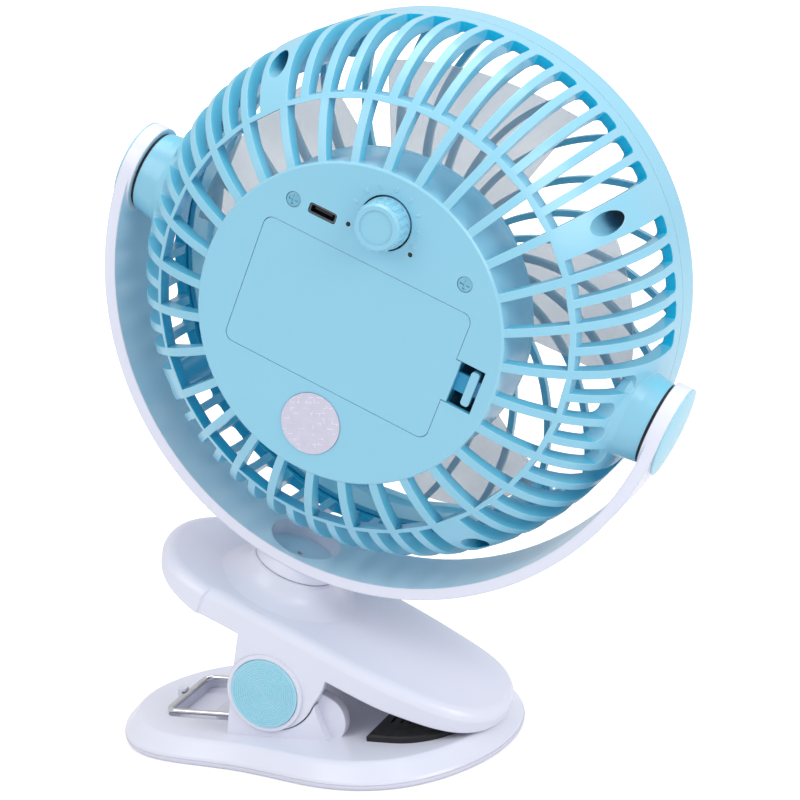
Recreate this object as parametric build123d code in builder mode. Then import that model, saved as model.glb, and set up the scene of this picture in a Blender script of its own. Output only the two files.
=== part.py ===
from build123d import *
from math import acos, atan2, ceil, cos, degrees, hypot, pi, radians, sin, sqrt, tan
import os

os.makedirs("parts", exist_ok=True)

# ------------------------------------------------------------------
# Driving dimensions, in millimetres and degrees.
# The clip stands on Z = 0 with its long axis along X and its nose at +X.
# The back of the fan, with knob and battery cover, looks along -Y.
# ------------------------------------------------------------------
wall = 2.2                   # general shell wall
seat_gap = 0.3               # clearance between faces of pieces that move past each other
fit_gap = 0.06               # radial clearance of running fits

# lower jaw (base plate)
base_length = 135.4          # rear end to nose
base_half_width = 47.4       # at the front lobe
rear_half_width = 37.5       # at the rear lobe
waist_half_width = 39.4      # between the lobes
base_top = 7.6               # height of the flat top
flare = 5.8                  # how far the top edge lies inside the bottom edge
cover_thickness = 1.8        # bottom cover plate
base_screw_radius = 1.4
base_screw_head = 2.6
base_screw_post = 3.2        # radius of the posts they go into
base_screw_reach = 2.9       # how far they go past the bottom cover
base_screw_inset_x = 46.0
base_screw_inset_y = 22.0
recess_depth = 3.4           # recess for the spring's bail
recess_corner = 3.0
recess_pad_height = 2.4      # raised pad in the middle of the recess
spring_hook_width = 3.0      # small hook behind the bail's cross bar
spring_hook_post = 1.6
spring_hook_reach = 3.0
spring_hook_lip = 0.9
lower_pad_rear = 28.4
lower_pad_straight = 37.0    # where the pad's round nose begins
lower_pad_half_width = 26.2
lower_pad_nose = 21.0
lower_pad_thickness = 2.1
pad_groove_pitch = 3.2
pad_groove_count = 7
pad_groove_width = 1.0
pad_groove_depth = 0.5

# hinge of the two jaws
hinge_x = -4.2
hinge_z = 22.7
pin_radius = 2.5
ear_face = 28.2              # outer face of the upper jaw's ears
ear_thickness = 3.5
ear_radius = 11.9            # round lower end of the upper ears
ear_front_radius = 16.3      # wider front part of the same edge
ear_front_centre = (1.5, 3.9)
ear_bend = 5.5               # lowest point of that edge, in front of the hinge
ear_lift = (15.8, 16.4)      # where it ends on the upper and on the lower ear
ear_brow = (17.7, -9.8)      # the lower ear's hollow front edge
seam_gap = 0.4               # seam between upper and lower ears
lug_thickness = 3.6
lug_radius = 8.2
gusset_radius = 8.5          # round-nosed gusset in front of each lug
gusset_centre = (16.6, -9.7)
hinge_cap_radius = 11.3
hinge_cap_rise = 1.3
cap_ring_width = 1.5
cap_plug_radius = 4.65       # plug that centres a cap in its ear
cap_plug_length = 1.4

# torsion spring
wire_radius = 0.9
coil_radius = 5.6            # to the wire's centre
coil_turns = 4
coil_gap = 0.6
bail_half_width = 14.9       # to the centre of each side wire
bail_rear_x = -48.0          # cross bar
bail_height = 8.55           # it rests on the base behind the recess
bail_corner = 3.2
bail_dip = 8.0               # bend where each side wire meets the recess
bail_dip_x = -19.0           # that bend, from the hinge axis
spring_leg_p = -16.0         # where the upper legs press on the handle

# upper jaw, in the sloping frame under the swivel axis
jaw_slope = 26.7             # nose down
pivot_x = 42.4               # fan pivot over the base
pivot_z = 145.2
jaw_top = -107.0
jaw_skirt = -116.3
handle_end = -43.0
nose_end = 82.0
handle_half_width = 29.4
straight_front = 30.0        # the sides run straight beside the ears
straight_rear = -5.0
nose_half_width = 26.0
mound_top = -99.0
mound_radius = 14.8
mound_foot = 26.0
mound_edge = 0.8             # chamfer round its top
pad_ribs = (52.0, 62.0, 72.0)
pad_rib_width = 1.6
swivel_boss_radius = 4.6
swivel_boss_foot = -113.3

upper_pad_top = -110.6
upper_pad_thickness = 2.8
upper_pad_rear = 45.0
upper_pad_nose_centre = 53.0
upper_pad_front = 75.0
upper_pad_half_width = 20.0
cap_grooves = 13
cap_groove_pitch = 0.78
cap_groove_start = 0.9
cap_groove_width = 0.34
cap_groove_depth = 0.25

# swivel
neck_radius = 13.9
neck_recess_radius = 11.5
neck_floor = -95.5           # bottom of the recess in the yoke
spigot_radius = 8.9
spigot_depth = 5.0
swivel_screw_radius = 1.5
swivel_head_radius = 3.4
swivel_washer_radius = 4.4
swivel_washer_thickness = 0.8
swivel_head_height = 2.0
swivel_screw_tip = -96.7     # inside the neck's floor
neck_hole_radius = 0.9       # small hole through that floor

# yoke
yoke_inner = 90.6
yoke_thickness = 3.7
yoke_half_width = 14.2
arm_face = 89.6              # flat inner face of each arm end
journal_radius = 4.5
screw_pocket_radius = 7.0
screw_pocket_depth = 2.0
arm_cap_rise = 1.6
pivot_screw_head = 5.4
pivot_screw_radius = 1.5
pivot_screw_length = 12.0
pivot_screw_rise = 1.2       # thickness of its head
cap_edge = 0.5               # thickness of each arm cap at its rim

# fan cage
cage_radius = 84.0
cage_arc_radius = 47.0       # rear shoulder, in section
shoulder_height = -6.0       # where the shoulder meets the straight band
disc_radius = 48.7
disc_face = 40.1             # back face over the pivot axis
disc_wall = 2.0
shell_depth = 4.2            # depth of the ribs
boss_skin = 3.4              # inner face of the pivot bosses, inside the ribs
band_wall = 2.2
split_height = -21.0         # where front and rear grille meet
rib_width = 2.6
inner_ribs = 30
outer_ribs = 60
ring_radius = 66.3
ring_width = 1.6
slot_end = -14.2             # where the outer slots end on the band
boss_radius = 13.0           # outer end of each pivot boss
boss_base_radius = 14.2
boss_pad_radius = 16.5       # solid shell round each boss
friction_washer_radius = 12.6
washer_thickness = 0.8
cage_screw_circle = 78.0
cage_column_radius = 4.7
cage_hole_radius = 3.3
cage_screw_seat = -12.0
cage_screw_radius = 1.5
column_skin = 0.4            # columns end this far inside the shell's outer face

# front grille
rim_corner_height = -31.0
rim_corner_radius = 10.0
front_face = -45.5
front_disc_radius = 22.0
front_wall = 2.6
front_bars = 25
front_bar_width = 2.0
front_bar_lead = 2.8         # where the first bar leaves the centre, in degrees
front_sweep = -36.0          # how far each curved bar turns, in degrees
front_slot_end = 80.5
front_post_radius = 3.6
front_pad_radius = 6.0       # solid pad in front of each post
seam_line = 0.3              # seam between the two grilles
cage_screw_head = 2.8
cage_screw_length = 12.0

# drum, motor and impeller
drum_wall = 2.2
drum_front = 16.0
drum_plate = 2.0
motor_radius = 13.85
motor_front = -8.0
motor_length = 21.0
motor_cup_wall = 1.6
motor_collar_radius = 3.0
motor_screw_x = 8.0
motor_screw_radius = 1.0
motor_screw_head = 1.9
motor_screw_length = 4.5
motor_lug_y = 9.0
housing_post_radius = 3.2    # posts for the two screws of the back disc
board_post_radius = 2.0
shaft_radius = 1.0
hub_radius = 18.4
hub_wall = 1.6
hub_front = -29.0
hub_rear = -11.0
hub_bore_radius = 3.4        # sleeve round the shaft
hub_web = 1.0                # webs behind the hub's face
hub_web_height = 8.0
hub_edge = 3.0               # rounding of its front edge
blade_tip_radius = 71.5
blade_count = 5
blade_thickness = 1.6
blade_root_chord = 27.0
blade_tip_chord = 66.0
blade_root_pitch = 42.0
blade_tip_pitch = 21.0
blade_centre = -16.0
blade_camber = 0.07
blade_lead = 20.0            # where the first blade points

# battery bay and cover
cover_left = -35.0
cover_right = 34.5
cover_bottom = -21.4
cover_top = 20.3
cover_corner = 3.0
cover_plate = 2.0
cell_radius = 9.2
cell_length = 65.0
cell_cap_radius = 3.0
cell_cap_rise = 1.0
contact_thickness = 0.5
bay_floor = 18.8
bay_wall = 1.5
bay_ledge = 1.0              # rest for the cover round the bay
hinge_inset = 0.15           # axis on which the cover tips open, from its left edge
hinge_sink = 0.1             # the same axis, under the disc's face
hook_y = 12.0                # curved hooks at the cover's left edge
hook_width = 8.0
hook_inner = 2.2             # round the axis on which the cover tips
hook_outer = 3.2
hook_start = -112.0          # tip of each hook, under the disc
hook_sweep = 82.0
hook_pocket_low = 36.2       # pockets for the hooks in the bay's wall
hook_pocket_reach = 4.0
latch_width = 9.0
scoop_width = 13.9
scoop_end = 44.0
scoop_length = 10.5
latch_floor = 35.2
cover_gap = 0.15
latch_half_width = 2.9
latch_start = 24.0
latch_bar_end = 42.6
latch_bar = 2.6
latch_catch = 2.4
latch_thickness = 1.2
rail_centre = 27.5
rail_length = 11.0
rail_wall = 1.0
rail_drop = 2.2
rail_lip = 0.8

# controls on the back disc
knob_y = 34.0
knob_radius = 7.4
knob_height = 7.0
knob_flutes = 18
knob_moat = 8.3
knob_skirt = 0.35            # thin flange round its foot
knob_skirt_height = 2.2
knob_flute_radius = 0.95
knob_wall = 1.6
knob_sink = 1.6              # its foot, under the disc's face
knob_bevel = 1.2             # height of the sloping edge of its crown
knob_dish_rim = 2.2
knob_dish_depth = 0.45
usb_x = -18.8
usb_y = 28.1
usb_length = 8.7
usb_height = 2.9
light_x = 10.3
light_y = 28.7
light_radius = 0.7
disc_screw_x = 28.6
disc_screw_y = 28.0
disc_screw_radius = 1.3
disc_dimple_radius = 2.4
disc_screw_length = 11.0
disc_screw_rise = 0.7
badge_y = -33.5
badge_radius = 9.5
badge_thickness = 0.6
badge_sink = 0.25
tick_count = 8
tick_rise = 0.2
tick_length = 1.5
tick_width = 0.7
tick_circle = 2.4            # outside the moat round the knob
board_gap = 2.6              # back disc to circuit board
board_thickness = 1.6
board_half_length = 24.5
board_low = 23.5
board_high = 38.4
board_top = disc_face - disc_wall - board_gap
pot_width = 11.0
pot_depth = 6.5
pot_bushing_radius = 3.4
pot_shaft_radius = 2.0
socket_wall = 0.4
socket_floor = 0.8
socket_tongue = 0.7

# ------------------------------------------------------------------
# Frames. "jaw_frame" slopes with the upper jaw: x to the nose, z up the
# swivel axis. "fan_frame" has x and y in the plane of the fan and z to its back.
# ------------------------------------------------------------------
slope = radians(jaw_slope)
along = Vector(cos(slope), 0, -sin(slope))
upward = Vector(sin(slope), 0, cos(slope))
pivot = Vector(pivot_x, 0, pivot_z)
jaw_frame = Plane(origin=pivot, x_dir=along, z_dir=upward)
fan_frame = Plane(origin=pivot, x_dir=along, z_dir=(0, -1, 0))
section_frame = Plane(origin=pivot, x_dir=along, z_dir=-upward)
fan_axis = Axis(pivot, (0, -1, 0))
swivel_axis = Axis(pivot, upward)


def tilted(x, y, z):
    """A plane through a point of the jaw frame, square to the fan's pivot axis."""
    return Plane(origin=jaw_frame.from_local_coords((x, y, z)), x_dir=(0, -1, 0), z_dir=along)


def jaw_point(x, z):
    """World X and Z of a point of the jaw frame, seen from the side."""
    place = jaw_frame.from_local_coords((x, 0, z))
    return (place.X, place.Z)


def near_hinge(x, z):
    """World X and Z of a point given from the hinge axis."""
    return (hinge_x + x, hinge_z + z)


def cross_recess(radius):
    """The cross slot of a screw head of a given radius, drawn in the current sketch."""
    Rectangle(1.3 * radius, 0.3 * radius)
    Rectangle(0.3 * radius, 1.3 * radius)


def spoke_plane(angle, distance):
    """Plane square to a spoke of the fan: local x runs round the axis, local y to the back."""
    turn = radians(angle)
    spoke = along * cos(turn) + upward * sin(turn)
    return Plane(origin=pivot + spoke * distance, x_dir=upward * cos(turn) - along * sin(turn), z_dir=spoke)


def finish(builder, name):
    builder.part.label = name
    export_step(builder.part, f"parts/{name}.step")


# ------------------------------------------------------------------
# Lower jaw: a flared shell with two ears, two pin lugs and a spring recess
# ------------------------------------------------------------------
def base_edge(inset):
    """Points round the base outline, from its rear end over its nose, drawn in by an inset."""
    half = base_length / 2
    points = [
        (-half, 0),
        (-half + 5.6, 0.52 * rear_half_width),
        (-half + 18.1, 0.867 * rear_half_width),
        (-half + 38.1, rear_half_width),
        (-half + 55.1, waist_half_width),
        (half - 63.3, (waist_half_width + base_half_width) / 2),
        (half - 42.3, base_half_width),
        (half - 22.3, 0.907 * base_half_width),
        (half - 7.8, 0.60 * base_half_width),
        (half, 0),
    ]
    points += [(x, -y) for x, y in points[-2:0:-1]]
    shrink_x = 1 - inset / half
    shrink_y = 1 - inset / base_half_width
    return [(x * shrink_x, y * shrink_y) for x, y in points]


flare_steps = (
    (cover_thickness, 0.0),
    (0.38 * base_top, 0.08 * flare),
    (0.88 * base_top, 0.74 * flare),
    (0.965 * base_top, 0.88 * flare),
    (base_top, flare),
)
hollow_share = (base_top - wall - cover_thickness) / (base_top - cover_thickness)
recess_front = hinge_x - 9.0
recess_rear = bail_rear_x + 0.6
recess_half_width = bail_half_width + 2.2
recess_floor = base_top - recess_depth
recess_centre = (recess_front + recess_rear) / 2
recess_length = recess_front - recess_rear
lower_ear_face = ear_face - seat_gap
lug_face = ear_face - ear_thickness - seat_gap
ear_foot = base_top - 1.2
foot = ear_foot - hinge_z
pin_half_length = ear_face - 1.8


def front_edge_point(x, radius):
    """Point from the hinge axis on the round front part of the ears' lower edge."""
    return (x, ear_front_centre[1] - sqrt(radius**2 - (x - ear_front_centre[0]) ** 2))


with BuildPart() as lower_jaw:
    for height, inset in flare_steps:
        with BuildSketch(Plane.XY.offset(height)):
            with BuildLine():
                Spline(*base_edge(inset), periodic=True)
            make_face()
    loft(ruled=True)
    for height, inset in flare_steps:
        level = cover_thickness + (height - cover_thickness) * hollow_share
        with BuildSketch(Plane.XY.offset(level)):
            with BuildLine():
                Spline(*base_edge(inset + wall), periodic=True)
            make_face()
    loft(ruled=True, mode=Mode.SUBTRACT)
    # tub of the spring recess
    with BuildSketch(Plane.XY.offset(recess_floor - wall * 0.7)):
        with Locations((recess_centre, 0)):
            RectangleRounded(recess_length + 2 * wall, 2 * recess_half_width + 2 * wall, recess_corner + 1.0)
    extrude(amount=base_top - recess_floor)
    with BuildSketch(Plane.XY.offset(recess_floor)):
        with Locations((recess_centre, 0)):
            RectangleRounded(recess_length, 2 * recess_half_width, recess_corner)
    extrude(amount=base_top, mode=Mode.SUBTRACT)
    # raised pad in the middle of the recess
    with BuildSketch(Plane.XY.offset(recess_floor - 0.2)):
        with Locations((recess_centre + 6.0, 0)):
            RectangleRounded(recess_length - 16.0, 2 * recess_half_width - 14.0, 2.0)
    extrude(amount=recess_pad_height + 0.2)
    # hook behind the spring's cross bar
    hook_x = bail_rear_x - wire_radius - seat_gap - spring_hook_post / 2
    lip_z = bail_height + wire_radius + 0.2
    with BuildSketch(Plane.XY.offset(base_top - 0.5)):
        with Locations((hook_x, 0)):
            Rectangle(spring_hook_post, spring_hook_width)
    extrude(amount=lip_z - base_top + 0.6)
    with BuildSketch(Plane.XY.offset(lip_z)):
        with Locations((hook_x + (spring_hook_reach - spring_hook_post) / 2, 0)):
            RectangleRounded(spring_hook_reach, spring_hook_width, 0.5)
    extrude(amount=spring_hook_lip)
    # screw posts for the bottom cover
    with BuildSketch(Plane.XY.offset(cover_thickness)):
        with GridLocations(2 * base_screw_inset_x, 2 * base_screw_inset_y, 2, 2):
            Circle(base_screw_post)
    extrude(amount=base_top - wall - cover_thickness + 0.5)
    for side in (1, -1):
        # pin lug with its round gusset
        with BuildSketch(Plane.XZ.offset(side * (lug_face - lug_thickness))):
            with Locations((hinge_x, hinge_z)):
                Circle(lug_radius)
            with Locations((hinge_x + gusset_centre[0], hinge_z + gusset_centre[1])):
                Circle(gusset_radius)
            with Locations((hinge_x - 6.0, ear_foot + 1.0)):
                Rectangle(16.0, 2.0)
            with Locations((hinge_x + gusset_centre[0] - 2.0, ear_foot + 1.0)):
                Rectangle(12.0, 2.0)
            make_hull()
            with Locations((hinge_x + 10.0, ear_foot - 10.0)):
                Rectangle(80.0, 20.0, mode=Mode.SUBTRACT)
        extrude(amount=side * lug_thickness)
        # outer ear with the curved seam under the upper jaw's ear
        seat_radius = ear_radius + seam_gap
        front_radius = ear_front_radius + seam_gap
        horn = (-sqrt(seat_radius**2 - 16.0), -4.0)
        low = (-0.485 * seat_radius, -0.875 * seat_radius)
        bend = front_edge_point(ear_bend, front_radius)
        lift = front_edge_point(ear_lift[1], front_radius)
        deep = (-0.75 * seat_radius, -0.6614 * seat_radius)
        with BuildSketch(Plane.XZ.offset(side * (lug_face - 0.4))):
            with BuildLine():
                Polyline(near_hinge(-15.9, foot), near_hinge(-13.1, -4.0), near_hinge(*horn))
                ThreePointArc(near_hinge(*horn), near_hinge(*deep), near_hinge(*low))
                ThreePointArc(near_hinge(*low), near_hinge(*bend), near_hinge(*lift))
                ThreePointArc(near_hinge(*lift), near_hinge(*ear_brow), near_hinge(20.6, foot))
                Line(near_hinge(20.6, foot), near_hinge(-15.9, foot))
            make_face()
        extrude(amount=side * (lower_ear_face - lug_face + 0.4))
    # bore for the hinge pin
    with BuildSketch(Plane.XZ.offset(-ear_face)):
        with Locations((hinge_x, hinge_z)):
            Circle(pin_radius + 0.02)
    extrude(amount=2 * ear_face, mode=Mode.SUBTRACT)
    # pilot holes
    with BuildSketch(Plane.XY.offset(cover_thickness)):
        with GridLocations(2 * base_screw_inset_x, 2 * base_screw_inset_y, 2, 2):
            Circle(base_screw_radius + 0.02)
    extrude(amount=base_screw_reach + 0.3, mode=Mode.SUBTRACT)
finish(lower_jaw, "lower_jaw")

# bottom cover and its four screws
with BuildPart() as lower_jaw_cover:
    for height, inset in ((0, 0.8), (0.3 * cover_thickness, 0.2), (cover_thickness, 0)):
        with BuildSketch(Plane.XY.offset(height)):
            with BuildLine():
                Spline(*base_edge(inset), periodic=True)
            make_face()
    loft()
    with BuildSketch(Plane.XY):
        with GridLocations(2 * base_screw_inset_x, 2 * base_screw_inset_y, 2, 2):
            Circle(base_screw_radius + 0.1)
    extrude(amount=cover_thickness, mode=Mode.SUBTRACT)
    with BuildSketch(Plane.XY):
        with GridLocations(2 * base_screw_inset_x, 2 * base_screw_inset_y, 2, 2):
            Circle(base_screw_head + 0.3)
    extrude(amount=1.0, mode=Mode.SUBTRACT)
finish(lower_jaw_cover, "lower_jaw_cover")

with BuildPart() as base_screws:
    with BuildSketch(Plane.XY.offset(0.3)):
        with GridLocations(2 * base_screw_inset_x, 2 * base_screw_inset_y, 2, 2):
            Circle(base_screw_head)
            Rectangle(2.4, 0.6, mode=Mode.SUBTRACT)
            Rectangle(0.6, 2.4, mode=Mode.SUBTRACT)
    extrude(amount=0.5)
    with BuildSketch(Plane.XY.offset(0.7)):
        with GridLocations(2 * base_screw_inset_x, 2 * base_screw_inset_y, 2, 2):
            Circle(base_screw_head)
    extrude(amount=0.3)
    with BuildSketch(Plane.XY.offset(0.9)):
        with GridLocations(2 * base_screw_inset_x, 2 * base_screw_inset_y, 2, 2):
            Circle(base_screw_radius)
    extrude(amount=cover_thickness + base_screw_reach - 0.9)
finish(base_screws, "base_screws")

# lower grip pad, ribbed across
with BuildPart() as lower_jaw_pad:
    with BuildSketch(Plane.XY.offset(base_top)):
        with Locations((lower_pad_straight, 0)):
            Ellipse(lower_pad_nose, lower_pad_half_width)
        with Locations((lower_pad_straight - 50, 0)):
            Rectangle(100, 200, mode=Mode.SUBTRACT)
        with Locations(((lower_pad_rear + lower_pad_straight) / 2, 0)):
            Rectangle(lower_pad_straight - lower_pad_rear, 2 * lower_pad_half_width)
    extrude(amount=lower_pad_thickness)
    chamfer(lower_jaw_pad.edges().group_by(Axis.Z)[-1], length=0.5)
    with BuildSketch(Plane.XY.offset(base_top + lower_pad_thickness - pad_groove_depth)):
        with Locations((lower_pad_straight + 5.0, 0)):
            with GridLocations(pad_groove_pitch, 0, pad_groove_count, 1):
                Rectangle(pad_groove_width, 30.0)
    extrude(amount=1.0, mode=Mode.SUBTRACT)
finish(lower_jaw_pad, "lower_jaw_pad")

with BuildPart() as hinge_pin:
    with BuildSketch(Plane.XZ.offset(-pin_half_length)):
        with Locations((hinge_x, hinge_z)):
            Circle(pin_radius)
    extrude(amount=2 * pin_half_length)
    chamfer(hinge_pin.edges().filter_by(GeomType.CIRCLE), length=0.4)
finish(hinge_pin, "hinge_pin")


# ------------------------------------------------------------------
# Torsion spring: one wire from the near upper leg through the near coil, round
# the bail in the base recess, and through the far coil to the far upper leg
# ------------------------------------------------------------------
def blend_arcs(start, start_way, end, end_way):
    """Two arcs that join two points with the given directions."""
    chord = end - start
    ways = start_way + end_way
    spread = 2 * (1 - start_way.dot(end_way))
    reach = (sqrt(chord.dot(ways) ** 2 + spread * chord.dot(chord)) - chord.dot(ways)) / spread
    first = start + start_way * reach
    second = end - end_way * reach
    middle = (first + second) / 2
    TangentArc(start, middle, tangent=start_way)
    TangentArc(middle, end, tangent=(second - first).normalized())


def corner_arc(before, corner, after, radius):
    """Arc that rounds a corner of the wire; returns its two ends."""
    way_in = (corner - before).normalized()
    way_out = (after - corner).normalized()
    turn = acos(way_in.dot(way_out))
    setback = radius * sin(turn / 2) / cos(turn / 2)
    start = corner - way_in * setback
    end = corner + way_out * setback
    TangentArc(start, end, tangent=way_in)
    return start, end


coil_pitch = 2 * wire_radius + coil_gap
leg_x, leg_z = jaw_point(spring_leg_p, jaw_top - wall - wire_radius - 0.25)
leg_x -= hinge_x
leg_z -= hinge_z
dip_z = bail_height - hinge_z
angle_in = degrees(atan2(leg_z, leg_x) - acos(coil_radius / hypot(leg_x, leg_z)))
angle_out = degrees(atan2(dip_z, bail_dip_x) + acos(coil_radius / hypot(bail_dip_x, dip_z))) - 360
if angle_out > -10:
    angle_out -= 360
wound = angle_in - angle_out + 360 * (coil_turns - 1)
quarters = ceil(wound / 90)


def coil_points(side):
    """Points and directions along one coil, from its upper leg to its side wire."""
    points = []
    for k in range(quarters + 1):
        share = k / quarters
        angle = radians(angle_in - wound * share)
        depth = bail_half_width - coil_pitch * wound / 360 * (1 - share)
        place = Vector(
            hinge_x + coil_radius * cos(angle), side * depth, hinge_z + coil_radius * sin(angle)
        )
        advance = 0 if k in (0, quarters) else side * coil_pitch / (2 * pi * coil_radius)
        way = Vector(sin(angle), advance, -cos(angle)).normalized()
        points.append((place, way))
    return points


near_coil = coil_points(-1)
far_coil = coil_points(1)
near_tip = near_coil[0][0] - near_coil[0][1] * sqrt(leg_x**2 + leg_z**2 - coil_radius**2)
far_tip = far_coil[0][0] - far_coil[0][1] * sqrt(leg_x**2 + leg_z**2 - coil_radius**2)
near_dip = Vector(hinge_x + bail_dip_x, -bail_half_width, bail_height)
far_dip = Vector(hinge_x + bail_dip_x, bail_half_width, bail_height)
near_corner = Vector(bail_rear_x, -bail_half_width, bail_height)
far_corner = Vector(bail_rear_x, bail_half_width, bail_height)

with BuildPart() as jaw_spring:
    with BuildLine() as wire_path:
        Line(near_tip, near_coil[0][0])
        for (start, start_way), (end, end_way) in zip(near_coil, near_coil[1:]):
            blend_arcs(start, start_way, end, end_way)
        dip_in, dip_out = corner_arc(near_coil[-1][0], near_dip, near_corner, bail_dip)
        Line(near_coil[-1][0], dip_in)
        corner_in, corner_out = corner_arc(near_dip, near_corner, far_corner, bail_corner)
        Line(dip_out, corner_in)
        turn_in, turn_out = corner_arc(near_corner, far_corner, far_dip, bail_corner)
        Line(corner_out, turn_in)
        rise_in, rise_out = corner_arc(far_corner, far_dip, far_coil[-1][0], bail_dip)
        Line(turn_out, rise_in)
        Line(rise_out, far_coil[-1][0])
        for (end, end_way), (start, start_way) in zip(far_coil[-2::-1], far_coil[::-1]):
            blend_arcs(start, -start_way, end, -end_way)
        Line(far_coil[0][0], far_tip)
    with BuildSketch(Plane(origin=near_tip, z_dir=near_coil[0][1])):
        Circle(wire_radius)
    sweep(path=wire_path.wires()[0])
finish(jaw_spring, "jaw_spring")

wire_line = wire_path.wires()[0]
samples = 900
trail = [wire_line.position_at(k / samples) for k in range(samples + 1)]
step = wire_line.length / samples
apart = int(4 * wire_radius / step) + 1
clear = min(
    (trail[i] - trail[j]).length
    for i in range(0, samples + 1)
    for j in range(i + apart, samples + 1, 2)
)
print("jaw_spring least gap between turns", round(clear - 2 * wire_radius, 2))
print("jaw_spring volume over section times length",
      round(jaw_spring.part.volume / (pi * wire_radius**2 * wire_line.length), 4))


# ------------------------------------------------------------------
# Upper jaw: a sloping shell with a handle, a mound for the swivel and two ears
# ------------------------------------------------------------------
jaw_middle = (handle_end + nose_end) / 2
jaw_half_length = (nose_end - handle_end) / 2
jaw_cavity_top = jaw_top - wall
spigot_foot = mound_top - spigot_depth


def jaw_outline(inset):
    """Draws the upper jaw's outline, drawn in by an inset: round ends, straight beside the ears."""
    shrink_x = 1 - inset / jaw_half_length
    shrink_y = 1 - inset / ear_face

    def rounded_end(way, points):
        both = points + [(x, -y) for x, y in points[-2::-1]]
        Spline(*[(jaw_middle + (x - jaw_middle) * shrink_x, y * shrink_y) for x, y in both],
               tangents=[(way, 0), (-way, 0)])

    rounded_end(1, [
        (straight_front, ear_face),
        (nose_end - 26.0, nose_half_width),
        (nose_end - 9.0, 0.79 * nose_half_width),
        (nose_end, 0),
    ])
    rounded_end(-1, [
        (straight_rear, ear_face),
        (handle_end + 26.0, handle_half_width),
        (handle_end + 14.0, 0.89 * handle_half_width),
        (handle_end + 5.0, 0.59 * handle_half_width),
        (handle_end, 0),
    ])
    for side in (1, -1):
        ends = [(jaw_middle + (x - jaw_middle) * shrink_x, side * ear_face * shrink_y)
                for x in (straight_front, straight_rear)]
        Line(*ends)


jaw_shoulder = jaw_top - 3.2
upper_steps = (
    (jaw_shoulder, 0.0),
    (jaw_top - 1.1, 1.0),
    (jaw_top, 3.4),
)
ear_root_front = jaw_point(30.0, jaw_top - 4.0)
ear_root_rear = jaw_point(-3.0, jaw_top - 4.0)
upper_low = (-0.485 * ear_radius, -0.875 * ear_radius)
upper_deep = (-0.85 * ear_radius, -0.527 * ear_radius)
upper_bend = front_edge_point(ear_bend, ear_front_radius)
upper_lift = front_edge_point(ear_lift[0], ear_front_radius)
upper_back = (-0.979 * ear_radius, 0.205 * ear_radius)

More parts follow.
